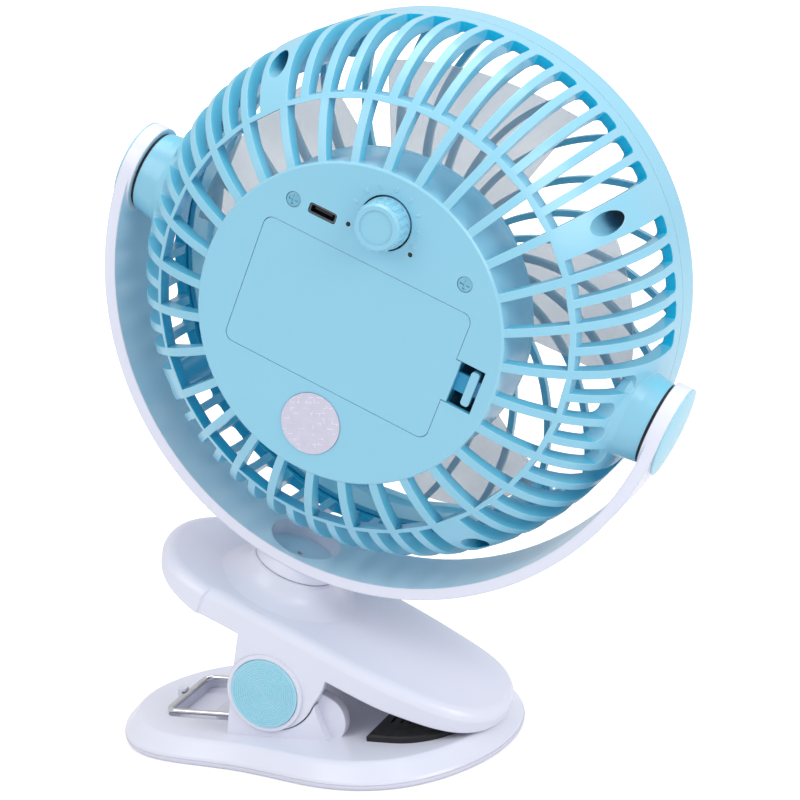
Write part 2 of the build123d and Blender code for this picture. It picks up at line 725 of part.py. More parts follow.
with BuildPart() as upper_jaw:
    with BuildSketch(jaw_frame.offset(jaw_skirt)):
        with BuildLine():
            jaw_outline(0)
        make_face()
    extrude(amount=jaw_shoulder - jaw_skirt)
    for height, inset in upper_steps:
        with BuildSketch(jaw_frame.offset(height)):
            with BuildLine():
                jaw_outline(inset)
            make_face()
    loft()
    # mound that carries the swivel
    with BuildSketch(fan_frame):
        with BuildLine():
            Polyline((0, mound_top), (mound_radius - mound_edge, mound_top),
                     (mound_radius, mound_top - mound_edge))
            ThreePointArc(
                (mound_radius, mound_top - mound_edge),
                (mound_radius + 3.2, jaw_top + 2.2),
                (mound_foot, jaw_top - 0.1),
            )
            Polyline((mound_foot, jaw_top - 0.1), (mound_foot, jaw_top - 1.0),
                     (0, jaw_top - 1.0), (0, mound_top))
        make_face()
    revolve(axis=swivel_axis, revolution_arc=360)
    # cavity under the jaw
    with BuildSketch(jaw_frame.offset(jaw_skirt - 1.0)):
        with BuildLine():
            jaw_outline(wall)
        make_face()
    extrude(amount=jaw_cavity_top - jaw_skirt + 1.0, mode=Mode.SUBTRACT)
    # the skirt runs up towards both ends
    with BuildSketch(fan_frame):
        with BuildLine():
            Polyline((-14.0, jaw_skirt), (-14.0, jaw_skirt - 5.0), (handle_end - 5.0, jaw_skirt - 5.0),
                     (handle_end - 5.0, jaw_skirt + 6.0), (handle_end + 4.0, jaw_skirt + 5.0))
            ThreePointArc((handle_end + 4.0, jaw_skirt + 5.0), (-27.0, jaw_skirt + 1.4), (-14.0, jaw_skirt))
        make_face()
        with BuildLine():
            Polyline((50.0, jaw_skirt), (50.0, jaw_skirt - 5.0), (nose_end + 5.0, jaw_skirt - 5.0),
                     (nose_end + 5.0, jaw_skirt + 3.6), (nose_end, jaw_skirt + 3.0))
            ThreePointArc((nose_end, jaw_skirt + 3.0), (67.0, jaw_skirt + 1.2), (50.0, jaw_skirt))
        make_face()
    extrude(amount=handle_half_width + 5, both=True, mode=Mode.SUBTRACT)
    # ribs that carry the grip pad
    with BuildSketch(jaw_frame.offset(upper_pad_top)):
        with Locations(*[(x, 0) for x in pad_ribs]):
            Rectangle(pad_rib_width, 2 * upper_pad_half_width - 12.0)
    extrude(amount=jaw_cavity_top - upper_pad_top + 0.5)
    # boss for the swivel screw
    with BuildSketch(jaw_frame.offset(swivel_boss_foot)):
        Circle(swivel_boss_radius)
    extrude(amount=jaw_cavity_top - swivel_boss_foot + 0.5)
    for side in (1, -1):
        with BuildSketch(Plane.XZ.offset(side * (ear_face - ear_thickness))):
            with BuildLine():
                Polyline(ear_root_rear, near_hinge(*upper_back))
                ThreePointArc(near_hinge(*upper_back), near_hinge(*upper_deep), near_hinge(*upper_low))
                ThreePointArc(near_hinge(*upper_low), near_hinge(*upper_bend), near_hinge(*upper_lift))
                Polyline(near_hinge(*upper_lift), near_hinge(20.0, 1.8), ear_root_front, ear_root_rear)
            make_face()
        extrude(amount=side * ear_thickness)
        # raised ring round the hinge cap
        with BuildSketch(Plane.XZ.offset(side * ear_face)):
            with Locations((hinge_x, hinge_z)):
                Circle(hinge_cap_radius + 0.15 + cap_ring_width)
                Circle(hinge_cap_radius + 0.15, mode=Mode.SUBTRACT)
        extrude(amount=side * (hinge_cap_rise - 0.5))
        # seat of the cap's plug
        with BuildSketch(Plane.XZ.offset(side * (ear_face - cap_plug_length - 0.2))):
            with Locations((hinge_x, hinge_z)):
                Circle(cap_plug_radius + 0.05)
        extrude(amount=side * 3.0, mode=Mode.SUBTRACT)
    with BuildSketch(Plane.XZ.offset(-ear_face)):
        with Locations((hinge_x, hinge_z)):
            Circle(pin_radius + fit_gap)
    extrude(amount=2 * ear_face, mode=Mode.SUBTRACT)
    # swivel bore and the hole of its screw
    with BuildSketch(jaw_frame.offset(spigot_foot - seat_gap)):
        Circle(spigot_radius + fit_gap)
    extrude(amount=20.0, mode=Mode.SUBTRACT)
    with BuildSketch(jaw_frame.offset(jaw_skirt)):
        Circle(swivel_screw_radius + fit_gap)
    extrude(amount=20.0, mode=Mode.SUBTRACT)
finish(upper_jaw, "upper_jaw")

with BuildPart() as upper_jaw_pad:
    with BuildSketch(jaw_frame.offset(upper_pad_top - upper_pad_thickness)):
        with Locations((upper_pad_nose_centre, 0)):
            Ellipse(upper_pad_front - upper_pad_nose_centre, upper_pad_half_width)
        with Locations((upper_pad_nose_centre - 50, 0)):
            Rectangle(100, 200, mode=Mode.SUBTRACT)
        with Locations(((upper_pad_rear + upper_pad_nose_centre) / 2, 0)):
            Rectangle(upper_pad_nose_centre - upper_pad_rear, 2 * upper_pad_half_width)
    extrude(amount=upper_pad_thickness)
    with BuildSketch(jaw_frame.offset(upper_pad_top - upper_pad_thickness)):
        with Locations((upper_pad_nose_centre, 0)):
            with GridLocations(pad_groove_pitch, 0, pad_groove_count, 1):
                Rectangle(pad_groove_width, 26.0)
    extrude(amount=pad_groove_depth, mode=Mode.SUBTRACT)
finish(upper_jaw_pad, "upper_jaw_pad")

# hinge caps with fine concentric grooves
for side, name in ((1, "hinge_cap_near"), (-1, "hinge_cap_far")):
    with BuildPart() as hinge_cap:
        with BuildSketch(Plane.XZ.offset(side * ear_face)):
            with Locations((hinge_x, hinge_z)):
                Circle(hinge_cap_radius)
        extrude(amount=side * hinge_cap_rise)
        with BuildSketch(Plane.XZ.offset(side * (ear_face - cap_plug_length))):
            with Locations((hinge_x, hinge_z)):
                Circle(cap_plug_radius)
        extrude(amount=side * cap_plug_length)
        with BuildSketch(Plane.XZ.offset(side * (ear_face + hinge_cap_rise - cap_groove_depth))):
            with Locations((hinge_x, hinge_z)):
                for ring in range(cap_grooves):
                    groove = cap_groove_start + ring * cap_groove_pitch
                    with BuildSketch(mode=Mode.PRIVATE) as groove_ring:
                        Circle(groove + cap_groove_width / 2)
                        Circle(groove - cap_groove_width / 2, mode=Mode.SUBTRACT)
                    add(groove_ring.sketch)
        extrude(amount=side * 0.5, mode=Mode.SUBTRACT)
    finish(hinge_cap, name)

# swivel screw, put in from under the jaw, and its washer
washer_low = swivel_boss_foot - 0.1 - swivel_washer_thickness
with BuildPart() as swivel_screw:
    with BuildSketch(jaw_frame.offset(washer_low - swivel_head_height)):
        Circle(swivel_head_radius)
    extrude(amount=swivel_head_height)
    with BuildSketch(jaw_frame.offset(washer_low - swivel_head_height)):
        cross_recess(swivel_head_radius)
    extrude(amount=swivel_head_height / 2, mode=Mode.SUBTRACT)
    with BuildSketch(jaw_frame.offset(washer_low)):
        Circle(swivel_screw_radius)
    extrude(amount=swivel_screw_tip - washer_low)
finish(swivel_screw, "swivel_screw")

with BuildPart() as swivel_washer:
    with BuildSketch(jaw_frame.offset(washer_low)):
        Circle(swivel_washer_radius)
        Circle(swivel_screw_radius + fit_gap, mode=Mode.SUBTRACT)
    extrude(amount=swivel_washer_thickness)
finish(swivel_washer, "swivel_washer")


# ------------------------------------------------------------------
# Yoke: a half ring with a neck that turns on the upper jaw
# ------------------------------------------------------------------
yoke_outer = yoke_inner + yoke_thickness
boss_end = arm_face - washer_thickness - 2 * 0.15
pocket_floor = yoke_outer - screw_pocket_depth
journal_end = pocket_floor + 0.1

with BuildPart() as yoke_bracket:
    with BuildSketch(fan_frame):
        Circle(yoke_outer)
        Circle(yoke_inner, mode=Mode.SUBTRACT)
        with Locations((0, yoke_outer)):
            Rectangle(3 * yoke_outer, 2 * yoke_outer, mode=Mode.SUBTRACT)
    extrude(amount=yoke_half_width, both=True)
    for side in (1, -1):
        with BuildSketch(tilted(side * arm_face, 0, 0)):
            Circle(yoke_half_width)
        extrude(amount=side * (yoke_outer - arm_face))
        # bearing bore, then the pocket of the pivot screw
        with BuildSketch(tilted(side * (arm_face - 1.0), 0, 0)):
            Circle(journal_radius + fit_gap)
        extrude(amount=side * (yoke_outer - arm_face + 2.0), mode=Mode.SUBTRACT)
        with BuildSketch(tilted(side * pocket_floor, 0, 0)):
            Circle(screw_pocket_radius)
        extrude(amount=side * (screw_pocket_depth + 1.0), mode=Mode.SUBTRACT)
    # neck with the recess of the swivel screw
    with BuildSketch(jaw_frame.offset(mound_top + seat_gap)):
        Circle(neck_radius)
    extrude(amount=-mound_top - seat_gap - yoke_inner - 1.0)
    with BuildSketch(jaw_frame.offset(neck_floor)):
        Circle(neck_recess_radius)
    extrude(amount=20.0, mode=Mode.SUBTRACT)
    # hollow spigot that turns in the jaw
    with BuildSketch(jaw_frame.offset(spigot_foot)):
        Circle(spigot_radius)
    extrude(amount=mound_top + seat_gap - spigot_foot + 0.5)
    with BuildSketch(jaw_frame.offset(spigot_foot)):
        Circle(swivel_screw_radius + 0.02)
    extrude(amount=swivel_screw_tip - spigot_foot + 0.2, mode=Mode.SUBTRACT)
    with BuildSketch(jaw_frame.offset(spigot_foot)):
        Circle(neck_hole_radius)
    extrude(amount=neck_floor - spigot_foot + 1.0, mode=Mode.SUBTRACT)
finish(yoke_bracket, "yoke_bracket")

# domed caps over the pivot screws
for side, name in ((1, "yoke_cap_right"), (-1, "yoke_cap_left")):
    cap_seat = yoke_outer
    cap_dome = (yoke_half_width**2 + arm_cap_rise**2) / (2 * arm_cap_rise)
    with BuildPart() as yoke_cap:
        with BuildSketch(fan_frame):
            with BuildLine():
                Line((side * cap_seat, 0), (side * (cap_seat + arm_cap_rise), 0))
                RadiusArc(
                    (side * (cap_seat + arm_cap_rise), 0),
                    (side * (cap_seat + cap_edge), yoke_half_width),
                    -side * cap_dome,
                )
                Polyline(
                    (side * (cap_seat + cap_edge), yoke_half_width),
                    (side * cap_seat, yoke_half_width),
                    (side * cap_seat, 0),
                )
            make_face()
        revolve(axis=Axis(pivot, along), revolution_arc=360)
        with BuildSketch(tilted(side * (pocket_floor + 0.3), 0, 0)):
            Circle(screw_pocket_radius - 0.05)
            Circle(screw_pocket_radius - 1.0, mode=Mode.SUBTRACT)
        extrude(amount=side * (screw_pocket_depth - 0.2))
    finish(yoke_cap, name)

with BuildPart() as pivot_screws:
    for side in (1, -1):
        with BuildSketch(tilted(side * journal_end, 0, 0)):
            Circle(pivot_screw_head)
        extrude(amount=side * pivot_screw_rise)
        with BuildSketch(tilted(side * (journal_end + pivot_screw_rise / 2), 0, 0)):
            cross_recess(pivot_screw_head)
        extrude(amount=side * 2.0, mode=Mode.SUBTRACT)
        with BuildSketch(tilted(side * (journal_end - pivot_screw_length), 0, 0)):
            Circle(pivot_screw_radius)
        extrude(amount=side * pivot_screw_length)
finish(pivot_screws, "pivot_screws")

for side, name in ((1, "friction_washer_right"), (-1, "friction_washer_left")):
    with BuildPart() as friction_washer:
        with BuildSketch(tilted(side * (boss_end + 0.15), 0, 0)):
            Circle(friction_washer_radius)
            Circle(journal_radius + 0.1, mode=Mode.SUBTRACT)
        extrude(amount=side * washer_thickness)
    finish(friction_washer, name)


# ------------------------------------------------------------------
# Rear grille: ribbed shell, back disc, drum wall and pivot bosses in one moulding
# ------------------------------------------------------------------
arc_centre = cage_radius - cage_arc_radius
journal_start = cage_radius - 5.0
bay_left = cover_left + bay_ledge
bay_right = cover_right - bay_ledge
bay_bottom = cover_bottom + bay_ledge
bay_top = cover_top - bay_ledge
bay_centre = ((bay_left + bay_right) / 2, (bay_bottom + bay_top) / 2)
bay_size = (bay_right - bay_left, bay_top - bay_bottom)
cover_centre = ((cover_left + cover_right) / 2, (cover_bottom + cover_top) / 2)
cover_size = (cover_right - cover_left, cover_top - cover_bottom)
latch_y = cover_centre[1]
disc_under = disc_face - disc_wall
drum_inner = disc_radius - drum_wall
column_foot = cage_screw_seat - 3.0


def arc_height(radius, depth):
    """Height of the shoulder at a radius, for a surface lying a depth inside the shell."""
    return shoulder_height + sqrt((cage_arc_radius - depth) ** 2 - (radius - arc_centre) ** 2)


def arc_point(turn, depth):
    """Point of the shoulder arc, the turn counted from the band to the back."""
    size = cage_arc_radius - depth
    return (arc_centre + size * cos(radians(turn)), shoulder_height + size * sin(radians(turn)))


def slot_tool(angle, near, far, pitch, low, rounding):
    """Wedge between two ribs from one radius to another, its foot at a height."""
    half_pitch = radians(pitch / 2)
    with BuildPart() as tool:
        for distance in (near, far):
            half = distance * tan(half_pitch) - rib_width / 2 / cos(half_pitch)
            corner = rounding * half
            with BuildSketch(spoke_plane(angle, distance)):
                with BuildLine():
                    Polyline((half, low + corner), (half, 60), (-half, 60), (-half, low + corner))
                    RadiusArc((-half, low + corner), (corner - half, low), -corner)
                    Line((corner - half, low), (half - corner, low))
                    RadiusArc((half - corner, low), (half, low + corner), -corner)
                make_face()
        loft()
    return tool.part


inner_pitch = 360 / inner_ribs
outer_pitch = 360 / outer_ribs
ring_inner = ring_radius - ring_width / 2
ring_outer = ring_radius + ring_width / 2
slot_tools = [
    slot_tool((k + 0.5) * inner_pitch, disc_radius - 0.4, ring_inner, inner_pitch, 8.0, 0.1)
    for k in range(inner_ribs)
]
for k in range(outer_ribs):
    angle = (k + 0.5) * outer_pitch
    from_pivot = min(angle % 180, 180 - angle % 180)
    sideways = cage_radius * sin(radians(from_pivot))
    if from_pivot == 45:
        continue
    if sideways < boss_pad_radius:
        slot_low = sqrt(boss_pad_radius**2 - sideways**2)
        slot_tools.append(slot_tool(angle, ring_outer, cage_radius + 2, outer_pitch, slot_low, 0.95))
    else:
        slot_tools.append(slot_tool(angle, ring_outer, cage_radius + 2, outer_pitch, slot_end, 0.6))

# outline of one boss, cut along the shell's inner face
with BuildPart() as pivot_boss:
    with BuildSketch(fan_frame):
        with BuildLine():
            Polyline((60, 0), (60, boss_base_radius + 2.0), (cage_radius - 5.5, boss_base_radius + 2.0))
            Polyline((cage_radius - 5.5, boss_base_radius + 2.0), (cage_radius - 3.0, boss_base_radius + 0.2),
                     (cage_radius, boss_base_radius - 0.5), (boss_end, boss_radius), (boss_end, 0), (60, 0))
        make_face()
    revolve(axis=Axis(pivot, along), revolution_arc=360)
    with BuildSketch(section_frame):
        with BuildLine():
            Polyline((0, -40), (arc_centre + cage_arc_radius - boss_skin, -40),
                     (arc_centre + cage_arc_radius - boss_skin, shoulder_height))
            ThreePointArc(arc_point(0, boss_skin), arc_point(25, boss_skin), arc_point(50, boss_skin))
            Polyline(arc_point(50, boss_skin), (0, arc_point(50, boss_skin)[1]), (0, -40))
        make_face()
    revolve(axis=fan_axis, revolution_arc=360, mode=Mode.SUBTRACT)

# screw columns under the four unslotted pads, trimmed just inside the shell's outer face
quarter_turns = [radians(45 + 90 * k) for k in range(4)]
screw_spots = [(cage_screw_circle * cos(turn), cage_screw_circle * sin(turn)) for turn in quarter_turns]

with BuildPart() as screw_columns:
    with BuildSketch(fan_frame.offset(column_foot)):
        with Locations(*screw_spots):
            Circle(cage_column_radius)
    extrude(amount=40.0)
    with BuildSketch(section_frame):
        with BuildLine():
            Polyline((0, column_foot - 1.0), (cage_radius - column_skin, column_foot - 1.0),
                     (cage_radius - column_skin, shoulder_height))
            ThreePointArc(arc_point(0, column_skin), arc_point(35, column_skin), arc_point(70, column_skin))
            Polyline(arc_point(70, column_skin), (0, arc_point(70, column_skin)[1]), (0, column_foot - 1.0))
        make_face()
    revolve(axis=fan_axis, revolution_arc=360, mode=Mode.INTERSECT)

with BuildPart() as rear_grille:
    # shell, with full rib depth on the shoulder and a thinner band below
    shell_turn = degrees(acos((disc_radius - 1.0 - arc_centre) / cage_arc_radius))
    inner_turn = degrees(acos((disc_radius - 1.0 - arc_centre) / (cage_arc_radius - shell_depth)))
    with BuildSketch(section_frame):
        with BuildLine():
            ThreePointArc(arc_point(shell_turn, 0), arc_point(shell_turn / 2, 0), arc_point(0, 0))
            Polyline(arc_point(0, 0), (cage_radius, split_height), (cage_radius - band_wall, split_height),
                     (cage_radius - band_wall, slot_end - 1.0), (cage_radius - shell_depth, slot_end + 1.0),
                     arc_point(0, shell_depth))
            ThreePointArc(arc_point(0, shell_depth), arc_point(inner_turn / 2, shell_depth),
                          arc_point(inner_turn, shell_depth))
            Line(arc_point(inner_turn, shell_depth), arc_point(shell_turn, 0))
        make_face()
    revolve(axis=fan_axis, revolution_arc=360)
    add(slot_tools, mode=Mode.SUBTRACT)
    # bosses with the journals of the tilt pivot
    add([pivot_boss.part, pivot_boss.part.rotate(fan_axis, 180)])
    for side in (1, -1):
        with BuildSketch(tilted(side * journal_start, 0, 0)):
            Circle(journal_radius)
        extrude(amount=side * (journal_end - journal_start))
        with BuildSketch(tilted(side * (journal_end - pivot_screw_length - 1.0), 0, 0)):
            Circle(pivot_screw_radius + 0.02)
        extrude(amount=side * (pivot_screw_length + 2.0), mode=Mode.SUBTRACT)
    # screw columns with their deep holes
    add(screw_columns.part)
    with BuildSketch(fan_frame.offset(cage_screw_seat)):
        with Locations(*screw_spots):
            Circle(cage_hole_radius)
    extrude(amount=60.0, mode=Mode.SUBTRACT)
    with BuildSketch(fan_frame.offset(column_foot - 1.0)):
        with Locations(*screw_spots):
            Circle(cage_screw_radius + 0.1)
    extrude(amount=6.0, mode=Mode.SUBTRACT)
    # back disc and drum wall
    with BuildSketch(section_frame):
        with BuildLine():
            Polyline((0, disc_under), (0, disc_face), (disc_radius - 0.5, disc_face),
                     (disc_radius, disc_face - 0.5), (disc_radius, drum_front), (drum_inner, drum_front),
                     (drum_inner, disc_under), (0, disc_under))
        make_face()
    revolve(axis=fan_axis, revolution_arc=360)
    # battery bay with its ledge for the cover
    with BuildSketch(fan_frame.offset(bay_floor - bay_wall)):
        with Locations(cover_centre):
            Rectangle(cover_size[0] + 2 * bay_wall, cover_size[1] + 2 * bay_wall)
    extrude(amount=disc_under - bay_floor + bay_wall + 0.5)
    with BuildSketch(fan_frame.offset(bay_floor)):
        with Locations(bay_centre):
            RectangleRounded(bay_size[0], bay_size[1], 1.0)
    extrude(amount=40.0, mode=Mode.SUBTRACT)
    with BuildSketch(fan_frame.offset(disc_face - cover_plate - 0.1)):
        with Locations(cover_centre):
            RectangleRounded(cover_size[0], cover_size[1], cover_corner)
    extrude(amount=10.0, mode=Mode.SUBTRACT)
    # wire hole through the bay's top wall
    with BuildSketch(fan_frame.offset(bay_floor + 3.0)):
        with Locations((0, cover_top + bay_wall / 2)):
            Rectangle(6.0, 3 * bay_wall)
    extrude(amount=3.0, mode=Mode.SUBTRACT)
    # finger scoop and latch opening beside the cover
    with BuildSketch(fan_frame.offset(latch_floor)):
        with Locations((scoop_end - scoop_length / 2, latch_y)):
            Rectangle(scoop_length, scoop_width)
    extrude(amount=20.0, mode=Mode.SUBTRACT)
    # pockets for the cover's two hooks
    with BuildSketch(fan_frame.offset(hook_pocket_low)):
        with Locations((bay_left - 1.0, latch_y + hook_y), (bay_left - 1.0, latch_y - hook_y)):
            Rectangle(hook_pocket_reach, hook_width + 0.8)
    extrude(amount=disc_under - hook_pocket_low, mode=Mode.SUBTRACT)
    # openings for knob, socket, lights and screws
    with BuildSketch(fan_frame.offset(disc_under - 1.0)):
        with Locations((0, knob_y)):
            Circle(knob_moat)
        with Locations((usb_x, usb_y)):
            RectangleRounded(usb_length + 0.5, usb_height + 0.5, 0.9)
        with Locations((light_x, light_y), (-light_x, light_y)):
            Circle(light_radius + 0.05)
        with Locations((disc_screw_x, disc_screw_y), (-disc_screw_x, disc_screw_y)):
            Circle(disc_screw_radius + 0.1)
    extrude(amount=10.0, mode=Mode.SUBTRACT)
    with BuildSketch(fan_frame.offset(disc_face - 1.0)):
        with Locations((disc_screw_x, disc_screw_y), (-disc_screw_x, disc_screw_y)):
            Circle(disc_dimple_radius)
    extrude(amount=5.0, mode=Mode.SUBTRACT)
    # seat of the round badge
    with BuildSketch(fan_frame.offset(disc_face - badge_sink)):
        with Locations((0, badge_y)):
            Circle(badge_radius + 0.1)
    extrude(amount=5.0, mode=Mode.SUBTRACT)
    # raised speed ticks round the knob
    with BuildSketch(fan_frame.offset(disc_face - 0.3)):
        with Locations((0, knob_y)):
            with PolarLocations(knob_moat + tick_circle, tick_count, start_angle=-15, angular_range=210):
                RectangleRounded(tick_length, tick_width, 0.3)
    extrude(amount=0.3 + tick_rise)
finish(rear_grille, "rear_grille")


# ------------------------------------------------------------------
# Front grille: swept bars, a round centre and four posts for the cage screws
# ------------------------------------------------------------------
rim_centre = cage_radius - rim_corner_radius


def rim_point(turn, depth):
    """Point of the front corner, turned down from the band, a depth inside the surface."""
    size = rim_corner_radius - depth
    return (rim_centre + size * cos(radians(turn)), rim_corner_height - size * sin(radians(turn)))


# the corner ends where the flat-centred dome meets it
dome_drop = front_face - (rim_corner_height - rim_corner_radius)
dome_turn = 90 + 2 * degrees(atan2(dome_drop, rim_centre - front_disc_radius))


def bar_edge(first, radius, side):
    """Point on one side of a swept bar at a radius."""
    reach = (radius - front_disc_radius) / (cage_radius - front_disc_radius)
    lean = radius * radians(front_sweep) / (cage_radius - front_disc_radius)
    half = front_bar_width / 2 * sqrt(1 + lean**2) / radius
    turn = radians(first + front_sweep * reach) + side * half
    return (radius * cos(turn), radius * sin(turn))


# opening between two neighbouring swept bars
front_steps = [front_disc_radius + 1.5 + (front_slot_end - front_disc_radius - 1.5) * k / 7 for k in range(8)]
with BuildPart() as front_gap:
    with BuildSketch(fan_frame.offset(front_face - 5.0)):
        left = [bar_edge(front_bar_lead, radius, 1) for radius in front_steps]
        right = [bar_edge(front_bar_lead + 360 / front_bars, radius, -1) for radius in front_steps]
        with BuildLine():
            Spline(*left)
            Line(left[-1], right[-1])
            Spline(*right[::-1])
            Line(right[0], left[0])
        make_face()
    extrude(amount=rim_corner_height - 1.0 - front_face + 5.0)
front_gaps = [front_gap.part.rotate(fan_axis, -k * 360 / front_bars) for k in range(front_bars)]

with BuildPart() as front_shell:
    with BuildSketch(section_frame):
        with BuildLine():
            Polyline((cage_radius - band_wall, split_height - seam_line),
                     (cage_radius, split_height - seam_line), (cage_radius, rim_corner_height))
            ThreePointArc(rim_point(0, 0), rim_point(dome_turn / 2, 0), rim_point(dome_turn, 0))
            TangentArc(rim_point(dome_turn, 0), (front_disc_radius, front_face),
                       tangent=(-sin(radians(dome_turn)), -cos(radians(dome_turn))))
            Polyline((front_disc_radius, front_face), (0, front_face), (0, front_face + front_wall),
                     (front_disc_radius, front_face + front_wall))
            TangentArc((front_disc_radius, front_face + front_wall), rim_point(dome_turn, front_wall),
                       tangent=(1, 0))
            ThreePointArc(rim_point(dome_turn, front_wall), rim_point(dome_turn / 2, front_wall),
                          rim_point(0, front_wall))
            Polyline(rim_point(0, front_wall), (cage_radius - front_wall, rim_corner_height + 2.0),
                     (cage_radius - band_wall, rim_corner_height + 3.0),
                     (cage_radius - band_wall, split_height - seam_line))
        make_face()
    revolve(axis=fan_axis, revolution_arc=360)

with BuildPart() as front_pads:
    with BuildSketch(fan_frame.offset(front_face)):
        with Locations(*screw_spots):
            Circle(front_pad_radius)
    extrude(amount=split_height - front_face)
    add(front_shell.part, mode=Mode.INTERSECT)

with BuildPart() as front_grille:
    add(front_shell.part)
    add(front_gaps, mode=Mode.SUBTRACT)
    add(front_pads.part)
    # raised centre disc
    with BuildSketch(section_frame):
        with BuildLine():
            Polyline((0, front_face + 0.5), (0, front_face - 1.2),
                     (front_disc_radius - 1.0, front_face - 1.2),
                     (front_disc_radius, front_face - 0.3), (front_disc_radius, front_face + 0.5),
                     (0, front_face + 0.5))
        make_face()
    revolve(axis=fan_axis, revolution_arc=360)
    # locating lip inside the rear band
    with BuildSketch(fan_frame.offset(rim_corner_height + 2.0)):
        Circle(cage_radius - band_wall - 0.2)
        Circle(cage_radius - band_wall - 1.8, mode=Mode.SUBTRACT)
    extrude(amount=split_height + 2.5 - rim_corner_height - 2.0)
    with BuildSketch(fan_frame.offset(rim_corner_height + 2.0)):
        Circle(cage_radius - 0.6)
        Circle(cage_radius - band_wall - 1.8, mode=Mode.SUBTRACT)
    extrude(amount=3.0)
    # posts that meet the screw columns
    with BuildSketch(fan_frame.offset(rim_corner_height - 6.0)):
        with Locations(*screw_spots):
            Circle(front_post_radius)
    extrude(amount=column_foot - seat_gap - rim_corner_height + 6.0)
    with BuildSketch(fan_frame.offset(cage_screw_seat - cage_screw_length - 1.0)):
        with Locations(*screw_spots):
            Circle(cage_screw_radius + 0.02)
    extrude(amount=cage_screw_length + 1.0, mode=Mode.SUBTRACT)
finish(front_grille, "front_grille")

with BuildPart() as cage_screws:
    with BuildSketch(fan_frame.offset(cage_screw_seat)):
        with Locations(*screw_spots):
            Circle(cage_screw_head)
    extrude(amount=1.8)
    with BuildSketch(fan_frame.offset(cage_screw_seat + 0.9)):
        with Locations(*screw_spots):
            cross_recess(cage_screw_head)
    extrude(amount=2.0, mode=Mode.SUBTRACT)
    with BuildSketch(fan_frame.offset(cage_screw_seat - cage_screw_length)):
        with Locations(*screw_spots):
            Circle(cage_screw_radius)
    extrude(amount=cage_screw_length)
finish(cage_screws, "cage_screws")


# ------------------------------------------------------------------
# Motor, its cup on the drum plate, and the impeller
# ------------------------------------------------------------------
plate_face = drum_front - seat_gap / 3
with BuildPart() as motor_housing:
    with BuildSketch(fan_frame.offset(plate_face - drum_plate)):
        Circle(disc_radius)
    extrude(amount=drum_plate)
    # lip that centres the plate in the drum
    with BuildSketch(fan_frame.offset(plate_face - 0.5)):
        Circle(drum_inner - 0.1)
        Circle(drum_inner - 1.7, mode=Mode.SUBTRACT)
    extrude(amount=2.8)
    # cup round the motor
    with BuildSketch(fan_frame.offset(motor_front - motor_cup_wall)):
        Circle(motor_radius + fit_gap + motor_cup_wall)
    extrude(amount=plate_face - drum_plate - motor_front + motor_cup_wall + 0.5)
    with BuildSketch(fan_frame.offset(motor_front)):
        Circle(motor_radius + fit_gap)
    extrude(amount=60.0, mode=Mode.SUBTRACT)
    with BuildSketch(fan_frame.offset(motor_front - motor_cup_wall - 1.0)):
        Circle(motor_collar_radius + 0.3)
        with Locations((motor_screw_x, 0), (-motor_screw_x, 0)):
            Circle(motor_screw_radius + 0.1)
    extrude(amount=6.0, mode=Mode.SUBTRACT)
    # posts for the two screws in the back disc
    with BuildSketch(fan_frame.offset(plate_face - 0.5)):
        with Locations((disc_screw_x, disc_screw_y), (-disc_screw_x, disc_screw_y)):
            Circle(housing_post_radius)
    extrude(amount=disc_under - 0.1 - plate_face + 0.5)
    with BuildSketch(fan_frame.offset(disc_face - 14.0)):
        with Locations((disc_screw_x, disc_screw_y), (-disc_screw_x, disc_screw_y)):
            Circle(disc_screw_radius + 0.02)
    extrude(amount=20.0, mode=Mode.SUBTRACT)
    # posts that hold the circuit board
    post_x = board_half_length - 2.5
    with BuildSketch(fan_frame.offset(plate_face - 0.5)):
        with Locations((post_x, board_low + 2.5), (-post_x, board_low + 2.5)):
            Circle(board_post_radius)
    extrude(amount=board_top - board_thickness - 0.1 - plate_face + 0.5)
finish(motor_housing, "motor_housing")

with BuildPart() as motor:
    with BuildSketch(fan_frame.offset(motor_front + 0.1)):
        Circle(motor_radius)
    extrude(amount=motor_length)
    with BuildSketch(fan_frame.offset(motor_front + motor_length)):
        Circle(motor_collar_radius)
    extrude(amount=1.8)
    with BuildSketch(fan_frame.offset(motor_front - 1.2)):
        Circle(motor_collar_radius)
    extrude(amount=2.0)
    with BuildSketch(fan_frame.offset(motor_front - 2.0)):
        Circle(shaft_radius + fit_gap)
    extrude(amount=9.0, mode=Mode.SUBTRACT)
    with BuildSketch(fan_frame.offset(motor_front)):
        with Locations((motor_screw_x, 0), (-motor_screw_x, 0)):
            Circle(motor_screw_radius + 0.02)
    extrude(amount=4.0, mode=Mode.SUBTRACT)
    # solder lugs
    with BuildSketch(fan_frame.offset(motor_front + motor_length)):
        with Locations((0, motor_lug_y), (0, -motor_lug_y)):
            Rectangle(2.0, 0.6)
    extrude(amount=3.5)
finish(motor, "motor")

with BuildPart() as motor_screws:
    with BuildSketch(fan_frame.offset(motor_front - motor_cup_wall - 1.0)):
        with Locations((motor_screw_x, 0), (-motor_screw_x, 0)):
            Circle(motor_screw_head)
    extrude(amount=1.0)
    with BuildSketch(fan_frame.offset(motor_front - motor_cup_wall - 1.5)):
        with Locations((motor_screw_x, 0), (-motor_screw_x, 0)):
            cross_recess(motor_screw_head)
    extrude(amount=1.0, mode=Mode.SUBTRACT)
    with BuildSketch(fan_frame.offset(motor_front - motor_cup_wall - 0.1)):
        with Locations((motor_screw_x, 0), (-motor_screw_x, 0)):
            Circle(motor_screw_radius)
    extrude(amount=motor_screw_length)
finish(motor_screws, "motor_screws")

with BuildPart() as motor_shaft:
    with BuildSketch(fan_frame.offset(hub_front + hub_wall + 1.0)):
        Circle(shaft_radius)
    extrude(amount=motor_front + 6.0 - hub_front - hub_wall - 1.0)
finish(motor_shaft, "motor_shaft")


